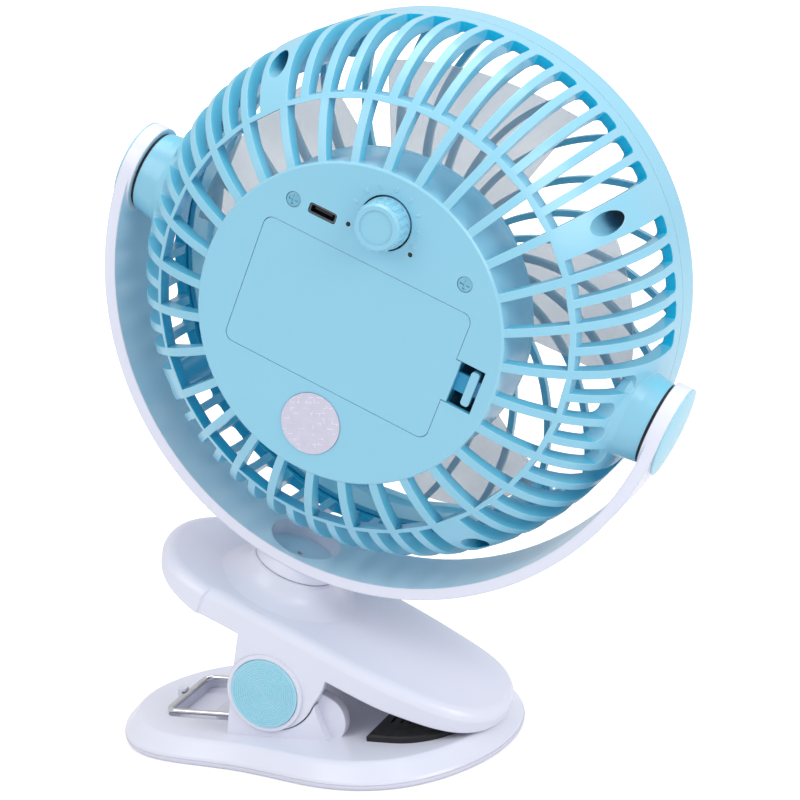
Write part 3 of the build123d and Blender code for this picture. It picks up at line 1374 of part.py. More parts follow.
def blade_point(pitch, run, rise):
    """Point of a blade section, run along its pitched chord and rise square to it."""
    turn = radians(pitch)
    return (run * cos(turn) - rise * sin(turn), blade_centre + run * sin(turn) + rise * cos(turn))


with BuildPart() as single_blade:
    for share in (0.0, 0.35, 0.7, 1.0):
        reach = hub_radius - 3.0 + (blade_tip_radius + 2.0 - hub_radius + 3.0) * share
        chord = blade_root_chord + (blade_tip_chord - blade_root_chord) * share
        pitch = blade_root_pitch + (blade_tip_pitch - blade_root_pitch) * share
        camber = blade_camber * chord
        front_edge = [blade_point(pitch, run * chord / 2, camber * (1 - run**2)) for run in (-1, 0, 1)]
        back_edge = [
            blade_point(pitch, run * chord / 2, camber * (1 - run**2) + blade_thickness)
            for run in (1, 0, -1)
        ]
        with BuildSketch(spoke_plane(blade_lead, reach)):
            with BuildLine():
                ThreePointArc(*front_edge)
                Line(front_edge[-1], back_edge[0])
                ThreePointArc(*back_edge)
                Line(back_edge[-1], front_edge[0])
            make_face()
    loft()
    # outline seen from the front: round tip, rounded corners
    with BuildSketch(fan_frame.offset(front_face)):
        Circle(blade_tip_radius)
        Circle(hub_radius - hub_wall / 2, mode=Mode.SUBTRACT)
    extrude(amount=60.0, mode=Mode.INTERSECT)

with BuildPart() as fan_blade:
    with BuildSketch(section_frame):
        with BuildLine():
            Polyline((0, hub_front), (hub_radius - hub_edge, hub_front))
            RadiusArc((hub_radius - hub_edge, hub_front), (hub_radius, hub_front + hub_edge), -hub_edge)
            Polyline((hub_radius, hub_front + hub_edge), (hub_radius, hub_rear),
                     (hub_radius - hub_wall, hub_rear), (hub_radius - hub_wall, hub_front + hub_wall),
                     (0, hub_front + hub_wall), (0, hub_front))
        make_face()
    revolve(axis=fan_axis, revolution_arc=360)
    with BuildSketch(fan_frame.offset(hub_front + hub_wall - 0.5)):
        Circle(hub_bore_radius)
    extrude(amount=motor_front - 2.0 - hub_front - hub_wall + 0.5)
    with BuildSketch(fan_frame.offset(hub_front + hub_wall + 1.0)):
        Circle(shaft_radius)
    extrude(amount=30.0, mode=Mode.SUBTRACT)
    # stiffening webs behind the hub's face
    with BuildSketch(fan_frame.offset(hub_front + hub_wall - 0.3)):
        with PolarLocations(0, 5):
            with Locations((hub_radius / 2, 0)):
                Rectangle(hub_radius - hub_wall, hub_web)
        Circle(2 * shaft_radius, mode=Mode.SUBTRACT)
    extrude(amount=hub_web_height)
    add([single_blade.part.rotate(fan_axis, k * 360 / blade_count) for k in range(blade_count)])
finish(fan_blade, "fan_blade")


# ------------------------------------------------------------------
# Battery: two cells, contact plates, cover with hooks and rails, sliding latch
# ------------------------------------------------------------------
cell_height = bay_floor + cell_radius + 0.15
cell_offset = cell_radius + 0.4
cell_plane = Plane(origin=fan_frame.from_local_coords((bay_centre[0] - cell_length / 2, 0, cell_height)),
                   x_dir=upward, z_dir=along)

for side, name in ((1, "battery_cell_upper"), (-1, "battery_cell_lower")):
    with BuildPart() as battery_cell:
        with BuildSketch(cell_plane):
            with Locations((bay_centre[1] + side * cell_offset, 0)):
                Circle(cell_radius)
        extrude(amount=cell_length - cell_cap_rise)
        with BuildSketch(cell_plane.offset(cell_length - cell_cap_rise)):
            with Locations((bay_centre[1] + side * cell_offset, 0)):
                Circle(cell_cap_radius)
        extrude(amount=cell_cap_rise)
    finish(battery_cell, name)

with BuildPart() as battery_contacts:
    for side in (1, -1):
        contact_x = bay_centre[0] + side * (bay_size[0] / 2 - 0.1 - contact_thickness / 2)
        for row in (1, -1):
            with BuildSketch(fan_frame.offset(cell_height - 6.0)):
                with Locations((contact_x, bay_centre[1] + row * cell_offset)):
                    Rectangle(contact_thickness, 12.0)
            extrude(amount=12.0)
finish(battery_contacts, "battery_contacts")

cover_low = disc_face - cover_plate
tip_axis = (cover_left + hinge_inset, disc_face - hinge_sink)
with BuildPart() as battery_cover:
    with BuildSketch(fan_frame.offset(cover_low)):
        with Locations(cover_centre):
            RectangleRounded(cover_size[0] - 2 * cover_gap, cover_size[1] - 2 * cover_gap, cover_corner)
    extrude(amount=cover_plate - 0.1)
    # tongue that reaches over the finger scoop
    with BuildSketch(fan_frame.offset(cover_low)):
        with Locations((scoop_end - scoop_length + 1.2, latch_y)):
            Rectangle(2.6, scoop_width - 0.6)
    extrude(amount=cover_plate - 0.1)
    # curved hooks under the edge of the disc, round the axis on which the cover tips
    for side in (1, -1):
        with BuildSketch(section_frame.offset(-latch_y - side * hook_y)):
            with BuildLine():
                outer_edge = CenterArc(tip_axis, hook_outer, hook_start, hook_sweep)
                inner_edge = CenterArc(tip_axis, hook_inner, hook_start, hook_sweep)
                Line(outer_edge @ 0, inner_edge @ 0)
                Line(outer_edge @ 1, inner_edge @ 1)
            make_face()
        extrude(amount=hook_width / 2, both=True)
    # rails that guide the latch
    for side in (1, -1):
        with BuildSketch(fan_frame.offset(cover_low - rail_drop)):
            with Locations((rail_centre, latch_y + side * (latch_half_width + 0.1 + rail_wall / 2))):
                Rectangle(rail_length, rail_wall)
        extrude(amount=rail_drop + 0.5)
        with BuildSketch(fan_frame.offset(cover_low - rail_drop)):
            with Locations((rail_centre, latch_y + side * (latch_half_width + 0.1))):
                Rectangle(rail_length, 2 * rail_wall)
        extrude(amount=rail_lip)
finish(battery_cover, "battery_cover")

latch_top = cover_low - 0.1
with BuildPart() as battery_cover_latch:
    with BuildSketch(fan_frame.offset(latch_top - latch_thickness)):
        with Locations(((latch_start + latch_bar_end) / 2, latch_y)):
            Rectangle(latch_bar_end - latch_start, 2 * latch_half_width)
    extrude(amount=latch_thickness)
    # finger bar
    with BuildSketch(fan_frame.offset(latch_top - latch_thickness)):
        with Locations((latch_bar_end - latch_bar / 2, latch_y)):
            RectangleRounded(latch_bar, latch_width + 2.0, 0.9)
    extrude(amount=disc_face - 0.5 - latch_top + latch_thickness)
    # catch under the edge of the disc
    with BuildSketch(fan_frame.offset(latch_top - latch_thickness)):
        with Locations((latch_bar_end + latch_catch / 2 - 0.5, latch_y)):
            Rectangle(latch_catch + 1.0, 5.0)
    extrude(amount=latch_thickness - 0.2)
finish(battery_cover_latch, "battery_cover_latch")


# ------------------------------------------------------------------
# Controls behind the back disc
# ------------------------------------------------------------------
with BuildPart() as circuit_board:
    with BuildSketch(fan_frame.offset(board_top - board_thickness)):
        with Locations((0, (board_low + board_high) / 2)):
            RectangleRounded(2 * board_half_length, board_high - board_low, 2.0)
        with Locations((0, knob_y)):
            Circle(pot_bushing_radius + 0.1, mode=Mode.SUBTRACT)
    extrude(amount=board_thickness)
    # a charging chip and a few small components
    with BuildSketch(fan_frame.offset(board_top - board_thickness - 1.5)):
        with Locations((-14.0, 29.0)):
            Rectangle(5.0, 4.0)
        with Locations((13.0, 31.0)):
            Rectangle(4.0, 3.0)
    extrude(amount=1.6)
finish(circuit_board, "circuit_board")

with BuildPart() as speed_potentiometer:
    with BuildSketch(fan_frame.offset(board_top - board_thickness - pot_depth)):
        with Locations((0, knob_y - 1.0)):
            RectangleRounded(pot_width, pot_width, 1.0)
    extrude(amount=pot_depth)
    with BuildSketch(fan_frame.offset(board_top - board_thickness - 1.0)):
        with Locations((0, knob_y)):
            Circle(pot_bushing_radius)
    extrude(amount=board_thickness + 1.0 + 2.0)
    with BuildSketch(fan_frame.offset(board_top - board_thickness - pot_depth + 1.0)):
        with Locations((0, knob_y)):
            Circle(pot_shaft_radius + fit_gap)
    extrude(amount=30.0, mode=Mode.SUBTRACT)
finish(speed_potentiometer, "speed_potentiometer")

with BuildPart() as usb_socket:
    with BuildSketch(fan_frame.offset(board_top)):
        with Locations((usb_x, usb_y)):
            RectangleRounded(usb_length, usb_height, 0.75)
    extrude(amount=disc_face - 0.4 - board_top)
    with BuildSketch(fan_frame.offset(board_top + socket_floor)):
        with Locations((usb_x, usb_y)):
            RectangleRounded(usb_length - 2 * socket_wall, usb_height - 2 * socket_wall, 0.4)
    extrude(amount=10.0, mode=Mode.SUBTRACT)
    with BuildSketch(fan_frame.offset(board_top + 0.5)):
        with Locations((usb_x, usb_y + 0.25)):
            Rectangle(usb_length - 3.0, socket_tongue)
    extrude(amount=disc_face - 1.2 - board_top - 0.5)
finish(usb_socket, "usb_socket")

with BuildPart() as charge_lights:
    with BuildSketch(fan_frame.offset(board_top)):
        with Locations((light_x, light_y), (-light_x, light_y)):
            Circle(light_radius)
    extrude(amount=disc_face - 0.3 - board_top)
finish(charge_lights, "charge_lights")

with BuildPart() as housing_screws:
    with BuildSketch(fan_frame.offset(disc_face - 1.0)):
        with Locations((disc_screw_x, disc_screw_y), (-disc_screw_x, disc_screw_y)):
            Circle(disc_dimple_radius - 0.2)
    extrude(amount=disc_screw_rise)
    with BuildSketch(fan_frame.offset(disc_face - 0.7)):
        with Locations((disc_screw_x, disc_screw_y), (-disc_screw_x, disc_screw_y)):
            cross_recess(disc_dimple_radius)
    extrude(amount=1.0, mode=Mode.SUBTRACT)
    with BuildSketch(fan_frame.offset(disc_face - disc_screw_length - 1.0)):
        with Locations((disc_screw_x, disc_screw_y), (-disc_screw_x, disc_screw_y)):
            Circle(disc_screw_radius)
    extrude(amount=disc_screw_length)
finish(housing_screws, "housing_screws")

with BuildPart() as back_badge:
    with BuildSketch(fan_frame.offset(disc_face - badge_sink)):
        with Locations((0, badge_y)):
            Circle(badge_radius)
    extrude(amount=badge_thickness)
finish(back_badge, "back_badge")

# fluted knob, its crown a little domed, with the shaft it turns
knob_foot = disc_face - knob_sink
knob_top = disc_face + knob_height
with BuildPart() as speed_knob:
    with BuildSketch(fan_frame.offset(knob_foot)):
        with Locations((0, knob_y)):
            Circle(knob_radius + knob_skirt)
    extrude(amount=knob_skirt_height)
    with BuildSketch(fan_frame.offset(knob_foot)):
        with Locations((0, knob_y)):
            Circle(knob_radius)
            with PolarLocations(knob_radius + 0.55, knob_flutes):
                Circle(knob_flute_radius, mode=Mode.SUBTRACT)
    extrude(amount=knob_top - knob_foot - knob_bevel)
    with BuildSketch(fan_frame.offset(knob_top - knob_bevel)):
        with Locations((0, knob_y)):
            Circle(knob_radius - knob_skirt)
    extrude(amount=knob_bevel, taper=25)
    # raised rim round the shallow dish of the crown
    with BuildSketch(fan_frame.offset(knob_top - knob_dish_depth)):
        with Locations((0, knob_y)):
            Circle(knob_radius - knob_dish_rim)
    extrude(amount=2.0, mode=Mode.SUBTRACT)
    with BuildSketch(fan_frame.offset(knob_foot - 1.0)):
        with Locations((0, knob_y)):
            Circle(knob_radius - knob_wall)
            Circle(pot_shaft_radius + knob_wall, mode=Mode.SUBTRACT)
    extrude(amount=knob_top - knob_foot - 1.0, mode=Mode.SUBTRACT)
    with BuildSketch(fan_frame.offset(board_top - board_thickness - pot_depth + 1.2)):
        with Locations((0, knob_y)):
            Circle(pot_shaft_radius)
    extrude(amount=knob_foot + 1.0 - board_top + board_thickness + pot_depth - 1.2)
finish(speed_knob, "speed_knob")
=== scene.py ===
"""Looks of a clip fan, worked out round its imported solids.

The frame is in metres. Seen from behind, the cage's pivot is PIVOT, ALONG runs to the nose
side of the yoke, UPWARD runs up the swivel axis, and the back of the fan looks along -Y.
"""

from math import cos, radians, sin

import bmesh
import bpy
import numpy as np
from mathutils import Matrix, Vector


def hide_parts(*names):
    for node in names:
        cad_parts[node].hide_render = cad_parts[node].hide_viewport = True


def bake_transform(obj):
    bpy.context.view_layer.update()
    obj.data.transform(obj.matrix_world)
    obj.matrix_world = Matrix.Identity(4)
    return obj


bl_info = {
    "name": "Clip fan",
    "version": (1, 0, 0),
    "blender": (4, 5, 0),
    "location": "3D View > Sidebar > Clip fan",
    "description": "Finishes the mouldings, impeller and hardware of a clip fan",
    "category": "Object",
}

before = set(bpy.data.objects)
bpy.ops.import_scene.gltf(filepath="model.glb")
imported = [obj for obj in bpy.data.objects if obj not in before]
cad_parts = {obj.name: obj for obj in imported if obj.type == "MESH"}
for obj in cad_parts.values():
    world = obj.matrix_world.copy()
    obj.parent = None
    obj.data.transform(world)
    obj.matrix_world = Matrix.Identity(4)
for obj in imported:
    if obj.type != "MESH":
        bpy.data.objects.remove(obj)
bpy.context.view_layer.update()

SLOPE = radians(26.7)
PIVOT = Vector((0.0424, 0.0, 0.1452))
ALONG = Vector((cos(SLOPE), 0.0, -sin(SLOPE)))
UPWARD = Vector((sin(SLOPE), 0.0, cos(SLOPE)))
BACKWARD = (0.0, -1.0, 0.0)

# measured from the pivot: latch, badge, disc's outer face, front ends of the ribs' slots, the
# finger scoop's middle and half width in two directions, its depths, and the latch's thin plate
LATCH_UP = -0.00055
BADGE_UP = -0.0335
BACK_FACE = 0.0401
SLOT_ENDS = (-0.0100, -0.0112)
SCOOP_SIDES = ((ALONG, 0.03875, 0.0055), (UPWARD, LATCH_UP, 0.0073))
SCOOP_DEPTHS = (0.0398, 0.0372)
SCOOP_SHARPNESS = 0.0002
LATCH_PLATE_ENDS = (0.03995, 0.03985)
LATCH_DEPTHS = (0.0386, 0.0372)

# the hinge caps' face, and the depths of their round grooves
CAP_FACE = 0.0295
GROOVE_DEPTHS = (0.00004, 0.00012)

# roughness of the glossy and of the satin mouldings
GLOSSY = (0.20, 0.26)
SATIN = (0.29, 0.36)

# studio: each lamp's name, place, width and share of the power, and the camera's fitted view
LAMPS = (("main lamp", (-0.55, -0.95, 1.05), 0.95, 0.69),
         ("side lamp", (1.15, -0.35, 0.75), 0.80, 0.82),
         ("top lamp", (0.10, 0.25, 1.25), 0.90, 0.80))
LAMP_AIM = Vector((0.02, 0.0, 0.11))
SKY_LIGHT = 0.68
CAMERA_PLACE = (0.345118, -0.694787, 0.309338)
CAMERA_ROUND = radians(23.75)
CAMERA_RISE = radians(14.61)
CAMERA_ROLL = radians(-5.5)
CAMERA_LENS = 113.77


def tone(code):
    """Linear colour of a six-digit screen colour: each share is undone from its 2.4 power curve."""
    shares = [int(code[k:k + 2], 16) / 255 for k in (0, 2, 4)]
    return tuple(s / 12.92 if s <= 0.04045 else ((s + 0.055) / 1.055) ** 2.4 for s in shares)


def colour(label, code, use):
    """A colour setting with its default as a screen colour."""
    return bpy.props.FloatVectorProperty(
        name=label, description=use, subtype="COLOR", size=3, min=0.0, max=1.0, default=tone(code))


def length(label, default, use):
    """A length setting in metres."""
    return bpy.props.FloatProperty(
        name=label, description=use, unit="LENGTH", precision=5, min=0.0, default=default)


class FanColours(bpy.types.PropertyGroup):
    """Colours of the fan's finishes."""
    shell: colour("Shell blue", "8ac6de", "Blue of cage, knob and battery cover")
    # painted highlight along the blue mouldings' edges, and painted light in the hinge caps'
    # grooves
    shell_painted_light: colour("Edge blue", "b9e8f4", "Paler blue along the edges of the blue mouldings")
    # painted shade: a fuller blue for the rib sides that lie in shade
    shell_side_shade: colour("Side blue", "6ac6e2", "Fuller blue of the faces on the ribs' sides")
    # painted shade: a deep blue for the cage's shaded inner faces and slot ends
    shell_deep_shade: colour("Deep blue", "0cbae2", "Blue of the cage's inner faces and slot ends")
    # painted shade: a dark blue for the bottom of the finger scoop
    scoop_shade: colour("Hollow blue", "1c98c4", "Dark blue at the bottom of the finger scoop")
    # painted light: a brighter cyan for the front bars' side and inner faces, which lie in shade
    bars: colour("Front bars", "7fd4ee", "Blue of the front grille's bars")
    caps: colour("Cap blue", "96cfe2", "Blue of the round caps")
    drum: colour("Drum blue", "80c4e0", "Blue of the drum plate and motor cup")
    clip: colour("Clip white", "dcdeec", "White of the clip's jaws")
    foot: colour("Foot white", "d8d9e8", "White of the bottom cover")
    yoke: colour("Yoke white", "e2e4f2", "White of the yoke")
    # painted blue bounce light on the white yoke's inner face
    painted_bounce: colour("Yoke lining", "d2eefc", "Pale blue of the yoke's inner face")
    rubber: colour("Rubber", "0d0e11", "Black of grip pads and washers")
    blade: colour("Impeller", "c6c9cf", "Frosted plastic of the impeller")
    badge: colour("Badge", "cbc9da", "Satin foil of the round badge")


class FanSizes(bpy.types.PropertyGroup):
    """Sizes that finish the fan's pieces."""
    rib_edge: length("Rib edge", 0.00045, "Rounding of the grilles' ribs and bars")
    jaw_edge: length("Jaw edge", 0.0007, "Rounding of the jaws' and the yoke's edges")
    fine_edge: length("Fine edge", 0.00025, "Rounding of battery cover, latch and knob")
    grain: length("Grain depth", 0.000006, "Depth of the moulded surface's grain")
    floor_radius: length("Floor radius", 7.0, "Radius of the pale floor")
    lamp: bpy.props.FloatProperty(
        name="Lamp power", description="Power of which each soft lamp has its share",
        unit="POWER", min=0.0, default=8.4)


# ------------------------------------------------------------------
# Finishes
# ------------------------------------------------------------------
class Finish:
    """A material under way, with its shader, and short ways to add nodes."""

    def __init__(self, name):
        self.material = bpy.data.materials.new(name)
        self.material.use_nodes = True
        self.tree = self.material.node_tree
        self.shader = self.tree.nodes["Principled BSDF"]
        self.place = self.add("ShaderNodeTexCoord").outputs["Object"]

    def add(self, kind, links=None, **values):
        """New node; links go to its inputs by name or number, values are its own settings."""
        made = self.tree.nodes.new(kind)
        for key, value in values.items():
            setattr(made, key, value)
        for key, value in (links or {}).items():
            if isinstance(value, bpy.types.NodeSocket):
                self.tree.links.new(value, made.inputs[key])
            else:
                made.inputs[key].default_value = value
        return made

    def noise(self, scale, detail=2.0, place=None):
        """Smooth noise of a scale per metre."""
        links = {"Vector": place or self.place, "Scale": scale, "Detail": detail}
        return self.add("ShaderNodeTexNoise", links).outputs["Fac"]

    def moved(self, turn=(0, 0, 0), scale=(1, 1, 1)):
        """Object coordinates, turned and scaled."""
        links = {"Vector": self.place, "Rotation": turn, "Scale": scale}
        return self.add("ShaderNodeMapping", links).outputs["Vector"]

    def span(self, factor, low, high, start=0.0, end=1.0):
        """A factor between two limits, stretched to a new span and held there."""
        links = {0: factor, 1: low, 2: high, 3: start, 4: end}
        return self.add("ShaderNodeMapRange", links).outputs[0]

    def maths(self, way, first, second=0.0):
        """One calculation on two values."""
        return self.add("ShaderNodeMath", {0: first, 1: second}, operation=way).outputs[0]

    def vector(self, way, *values, output="Vector"):
        """One calculation on vectors."""
        links = dict(enumerate(values))
        return self.add("ShaderNodeVectorMath", links, operation=way).outputs[output]

    def blend(self, factor, first, second):
        """Two colours mixed by a factor."""
        made = self.add("ShaderNodeMix", data_type="RGBA")
        sockets = (made.inputs[0], made.inputs[6], made.inputs[7])
        for socket, value in zip(sockets, (factor, first, second)):
            if isinstance(value, bpy.types.NodeSocket):
                self.tree.links.new(value, socket)
            else:
                socket.default_value = value if isinstance(value, float) else (*value[:3], 1.0)
        return made.outputs[2]

    def bump(self, height, depth, strength=1.0, under=None):
        """Surface relief of a height pattern, over an earlier one."""
        links = {"Height": height, "Distance": depth, "Strength": strength}
        if under:
            links["Normal"] = under
        return self.add("ShaderNodeBump", links).outputs["Normal"]

    def facing(self, way):
        """How far a face looks along a direction: the dot product of its normal with it."""
        normal = self.add("ShaderNodeTexCoord").outputs["Normal"]
        return self.vector("DOT_PRODUCT", normal, way, output="Value")

    def outwards(self):
        """Direction from the fan's axis to a point, square to that axis."""
        flat = self.vector("MULTIPLY", self.vector("SUBTRACT", self.place, PIVOT), (1, 0, 1))
        return self.vector("NORMALIZE", flat)

    def measured(self, way):
        """Distance of a point from the pivot, measured along a direction."""
        away = self.vector("SUBTRACT", self.place, PIVOT)
        return self.vector("DOT_PRODUCT", away, way, output="Value")

    def edges(self, radius):
        """Rounded normal of the edges, and a factor that grows where it leaves the face's own."""
        round_normal = self.add("ShaderNodeBevel", {"Radius": radius}, samples=6).outputs["Normal"]
        own = self.add("ShaderNodeNewGeometry").outputs["Normal"]
        alike = self.vector("DOT_PRODUCT", round_normal, own, output="Value")
        return round_normal, self.span(alike, 0.995, 0.90)

    def flow(self, tint, depth):
        """A moulded tint with faint flow marks, darker and lighter by a share."""
        marks = self.span(self.noise(26.0), 0.3, 0.7)
        return self.blend(marks, shaded(tint, 1 - depth), shaded(tint, 1 + depth))

    def gloss(self, low, high):
        """Uneven gloss of a moulding, between two roughnesses."""
        return self.span(self.noise(150.0), 0.3, 0.7, low, high)

    def skin(self, grain, under=None):
        """Fine relief of a moulded skin, over the rounded edges."""
        return self.bump(self.noise(1400.0), grain, 0.3, under)

    def put(self, **inputs):
        """Set or link the shader's inputs, and give the material back."""
        for key, value in inputs.items():
            socket = self.shader.inputs[key.replace("_", " ")]
            if isinstance(value, bpy.types.NodeSocket):
                self.tree.links.new(value, socket)
            else:
                socket.default_value = (*value, 1.0) if hasattr(value, "__len__") else value
        return self.material


def shaded(tint, share):
    """A colour made darker or lighter by a share."""
    return tuple(min(1.0, c * share) for c in tint)


def scoop(f):
    """Factor of the painted shade that grows with depth inside the finger scoop, by three distances
    from the pivot.
    """
    sides = []
    for way, middle, half in SCOOP_SIDES:
        distance = f.maths("ABSOLUTE", f.maths("SUBTRACT", f.measured(way), middle))
        sides.append(f.span(distance, half, half - SCOOP_SHARPNESS))
    inside = f.maths("MULTIPLY", *sides)
    return f.maths("MULTIPLY", inside, f.span(f.measured(BACKWARD), *SCOOP_DEPTHS))


def moulded(name, tint, grain, edge, rough=GLOSSY, pale=None, side=None, deep=None, scoop_shade=None,
            painted_bounce=None):
    """Glossy moulded plastic: faint flow marks, an uneven gloss, a fine skin, and soft edges with a
    painted highlight, paler than the tint. A painted blue bounce light covers faces that look at
    the fan's axis. A side colour is a painted shade on faces that look neither back nor outwards.
    A deep colour is a painted deep shade on faces that look at the axis and, near the fan's front,
    on faces that look back. A painted shade lies in the finger scoop, darker with depth."""
    f = Finish(name)
    base = f.flow(tint, 0.008)
    # painted blue bounce light: faces that look at the fan's axis take the pale blue
    if painted_bounce:
        inner = f.span(f.facing(f.outwards()), -0.75, -0.35, 1.0, 0.0)
        base = f.blend(inner, base, painted_bounce)
    if side:
        # painted shade: faces that look neither back nor outwards take the side colour
        open_faces = f.maths("MAXIMUM", f.facing(BACKWARD), f.facing(f.outwards()))
        base = f.blend(f.span(open_faces, 0.2, 0.6, 1.0, 0.0), base, side)
    if deep:
        # painted shade: faces that look at the axis, and faces near the front that look back, take
        # the deep colour
        inward = f.span(f.facing(f.outwards()), -0.75, -0.25, 1.0, 0.0)
        ends = f.maths("MULTIPLY", f.span(f.facing(BACKWARD), 0.3, 0.7),
                       f.span(f.measured(BACKWARD), *SLOT_ENDS))
        base = f.blend(f.maths("MAXIMUM", inward, ends), base, deep)
    round_normal, border = f.edges(edge)
    # painted highlight: near the edges the colour is blended toward a paler one
    base = f.blend(f.maths("MULTIPLY", border, 0.55), base, pale or shaded(tint, 1.06))
    # painted shade: the finger scoop darkens with depth
    if scoop_shade:
        base = f.blend(scoop(f), base, scoop_shade)
    return f.put(Base_Color=base, Roughness=f.gloss(*rough), Normal=f.skin(grain, round_normal))


def ringed_cap(name, tint, pale, grain):
    """Moulded cap with painted light in its fine round grooves, which are paler than its face: a
    point is in a groove where its distance from the middle plane is less than the face's."""
    f = Finish(name)
    apart = f.maths("ABSOLUTE", f.add("ShaderNodeSeparateXYZ", {0: f.place}).outputs["Y"])
    groove = f.span(apart, *(CAP_FACE - depth for depth in GROOVE_DEPTHS))
    # painted light: the grooves, where shade would fall, take the paler colour
    base = f.blend(groove, f.flow(tint, 0.015), pale)
    return f.put(Base_Color=base, Roughness=f.gloss(0.29, 0.35), Normal=f.skin(grain))


def soft_rubber(name, tint):
    """Matt rubber: a mealy surface with paler scuffs."""
    f = Finish(name)
    scuff = f.span(f.noise(160.0, 6.0), 0.52, 0.72)
    meal = f.noise(3200.0, 3.0)
    return f.put(Base_Color=f.blend(scuff, tint, shaded(tint, 1.9)),
                 Roughness=f.span(scuff, 0.0, 1.0, 0.52, 0.72),
                 Normal=f.bump(meal, 0.00005, 0.5))


def metal(name, tint, rough, brush=(1, 1, 1)):
    """Bright metal: fine brush lines in one direction, and patches of duller gloss."""
    f = Finish(name)
    lines = f.noise(1500.0, 3.0, f.moved(scale=brush))
    haze = f.noise(240.0, 4.0)
    base = f.blend(f.span(haze, 0.35, 0.7), tint, shaded(tint, 0.86))
    return f.put(Base_Color=base, Metallic=1.0,
                 Roughness=f.span(haze, 0.3, 0.7, rough - 0.05, rough + 0.08),
                 Normal=f.bump(lines, 0.000012, 0.5))


def frosted(name, tint):
    """Frosted see-through plastic: cloudy thickness, a fine matt skin, a soft gloss and painted
    shade along the edges.
    """
    f = Finish(name)
    cloud = f.span(f.noise(40.0), 0.3, 0.7)
    round_normal, border = f.edges(0.0006)
    base = f.blend(cloud, shaded(tint, 0.98), shaded(tint, 1.02))
    # painted shade: the edges are darker than the face
    base = f.blend(f.maths("MULTIPLY", border, 0.5), base, shaded(tint, 0.72))
    return f.put(Base_Color=base, Roughness=f.span(cloud, 0.0, 1.0, 0.32, 0.42),
                 Alpha=f.span(cloud, 0.0, 1.0, 0.46, 0.53),
                 Normal=f.bump(f.noise(1800.0), 0.000006, 0.3, round_normal))


def socket_steel(name):
    """Steel shell of a socket, bright at its rim and black inside, by its depth under the disc."""
    f = Finish(name)
    rim = f.span(f.measured(BACKWARD), BACK_FACE - 0.0006, BACK_FACE - 0.0003)
    haze = f.span(f.noise(900.0, 3.0), 0.35, 0.65)
    steel = f.blend(haze, (0.16, 0.18, 0.20), (0.22, 0.24, 0.26))
    return f.put(Base_Color=f.blend(rim, (0.012, 0.013, 0.016), steel),
                 Metallic=f.span(rim, 0.0, 1.0, 0.1, 1.0),
                 Roughness=f.span(haze, 0.0, 1.0, 0.29, 0.38),
                 Normal=f.bump(haze, 0.000008, 0.4))


def badge_foil(name, tint):
    """Satin foil with rows of short dashes pressed into it, on a slant."""
    f = Finish(name)
    turned = {"Vector": f.vector("SUBTRACT", f.place, PIVOT + UPWARD * BADGE_UP),
              "Rotation": (radians(90), radians(-8), 0)}
    laid = f.add("ShaderNodeMapping", turned).outputs["Vector"]
    rows = {"Vector": laid, "Scale": 620.0, "Brick Width": 1.6, "Row Height": 1.0,
            "Mortar Size": 0.09, "Mortar Smooth": 0.4, "Mortar": (1, 1, 1, 1),
            "Color1": (0, 0, 0, 1), "Color2": (0, 0, 0, 1)}
    dashes = f.add("ShaderNodeTexBrick", rows, offset=0.5).outputs["Color"]
    kept = f.span(f.noise(420.0), 0.52, 0.58)
    marks = f.maths("MULTIPLY", dashes, kept)
    glint = f.span(f.noise(300.0, 3.0), 0.3, 0.7)
    foil = f.blend(glint, shaded(tint, 0.96), shaded(tint, 1.03))
    return f.put(Base_Color=f.blend(marks, foil, shaded(tint, 1.25)), Metallic=0.2,
                 Roughness=f.span(glint, 0.0, 1.0, 0.30, 0.40), Normal=f.bump(marks, 0.00003, 0.4))


def solder_mask(name):
    """Green board: lacquer over copper lines and round pads."""
    f = Finish(name)
    tracks = {"Vector": f.moved(turn=(radians(90), SLOPE, 0)), "Scale": 700.0, "Mortar Size": 0.18,
              "Brick Width": 3.0, "Row Height": 1.0}
    lines = f.add("ShaderNodeTexBrick", tracks).outputs["Fac"]
    cells = f.add("ShaderNodeTexVoronoi", {"Vector": f.place, "Scale": 420.0}).outputs["Distance"]
    pads = f.span(cells, 0.16, 0.2, 1.0, 0.0)
    base = f.blend(pads, f.blend(lines, tone("145c36"), tone("1f7a48")), tone("c9b37a"))
    return f.put(Base_Color=base, Roughness=f.span(lines, 0.0, 1.0, 0.3, 0.42),
                 Normal=f.bump(f.maths("ADD", lines, pads), 0.00005, 0.6))


def shrink_wrap(name):
    """Glossy shrink wrap of a battery cell, with fine, paler creases along it."""
    f = Finish(name)
    crease = f.noise(900.0, 4.0, f.moved(turn=(0, -SLOPE, 0), scale=(0.15, 1, 1)))
    return f.put(Base_Color=f.blend(f.span(crease, 0.4, 0.6), tone("2f8f63"), tone("3aa173")),
                 Roughness=f.span(crease, 0.3, 0.7, *GLOSSY), Normal=f.bump(crease, 0.00004, 0.5))


# ------------------------------------------------------------------
# Meshes
# ------------------------------------------------------------------
def placed(name, mesh):
    """New smooth object at the origin round a mesh."""
    mesh.polygons.foreach_set("use_smooth", np.full(len(mesh.polygons), True))
    made = bpy.data.objects.new(name, mesh)
    bpy.context.scene.collection.objects.link(made)
    return made


def from_arrays(name, points, faces):
    """New object from whole arrays of points and faces."""
    mesh = bpy.data.meshes.new(name)
    mesh.from_pydata(points.tolist(), [], faces.tolist())
    return placed(name, mesh)


def merged_copy(name, node):
    """New object with a solid's own shape, its loose triangles joined."""
    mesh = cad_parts[node].data.copy()
    mesh.name = name
    work = bmesh.new()
    work.from_mesh(mesh)
    bmesh.ops.remove_doubles(work, verts=work.verts, dist=1e-6)
    work.to_mesh(mesh)
    work.free()
    return placed(name, mesh)


def dress(thing, material):
    """Give a piece or a solid one material."""
    thing.data.materials.clear()
    thing.data.materials.append(material)


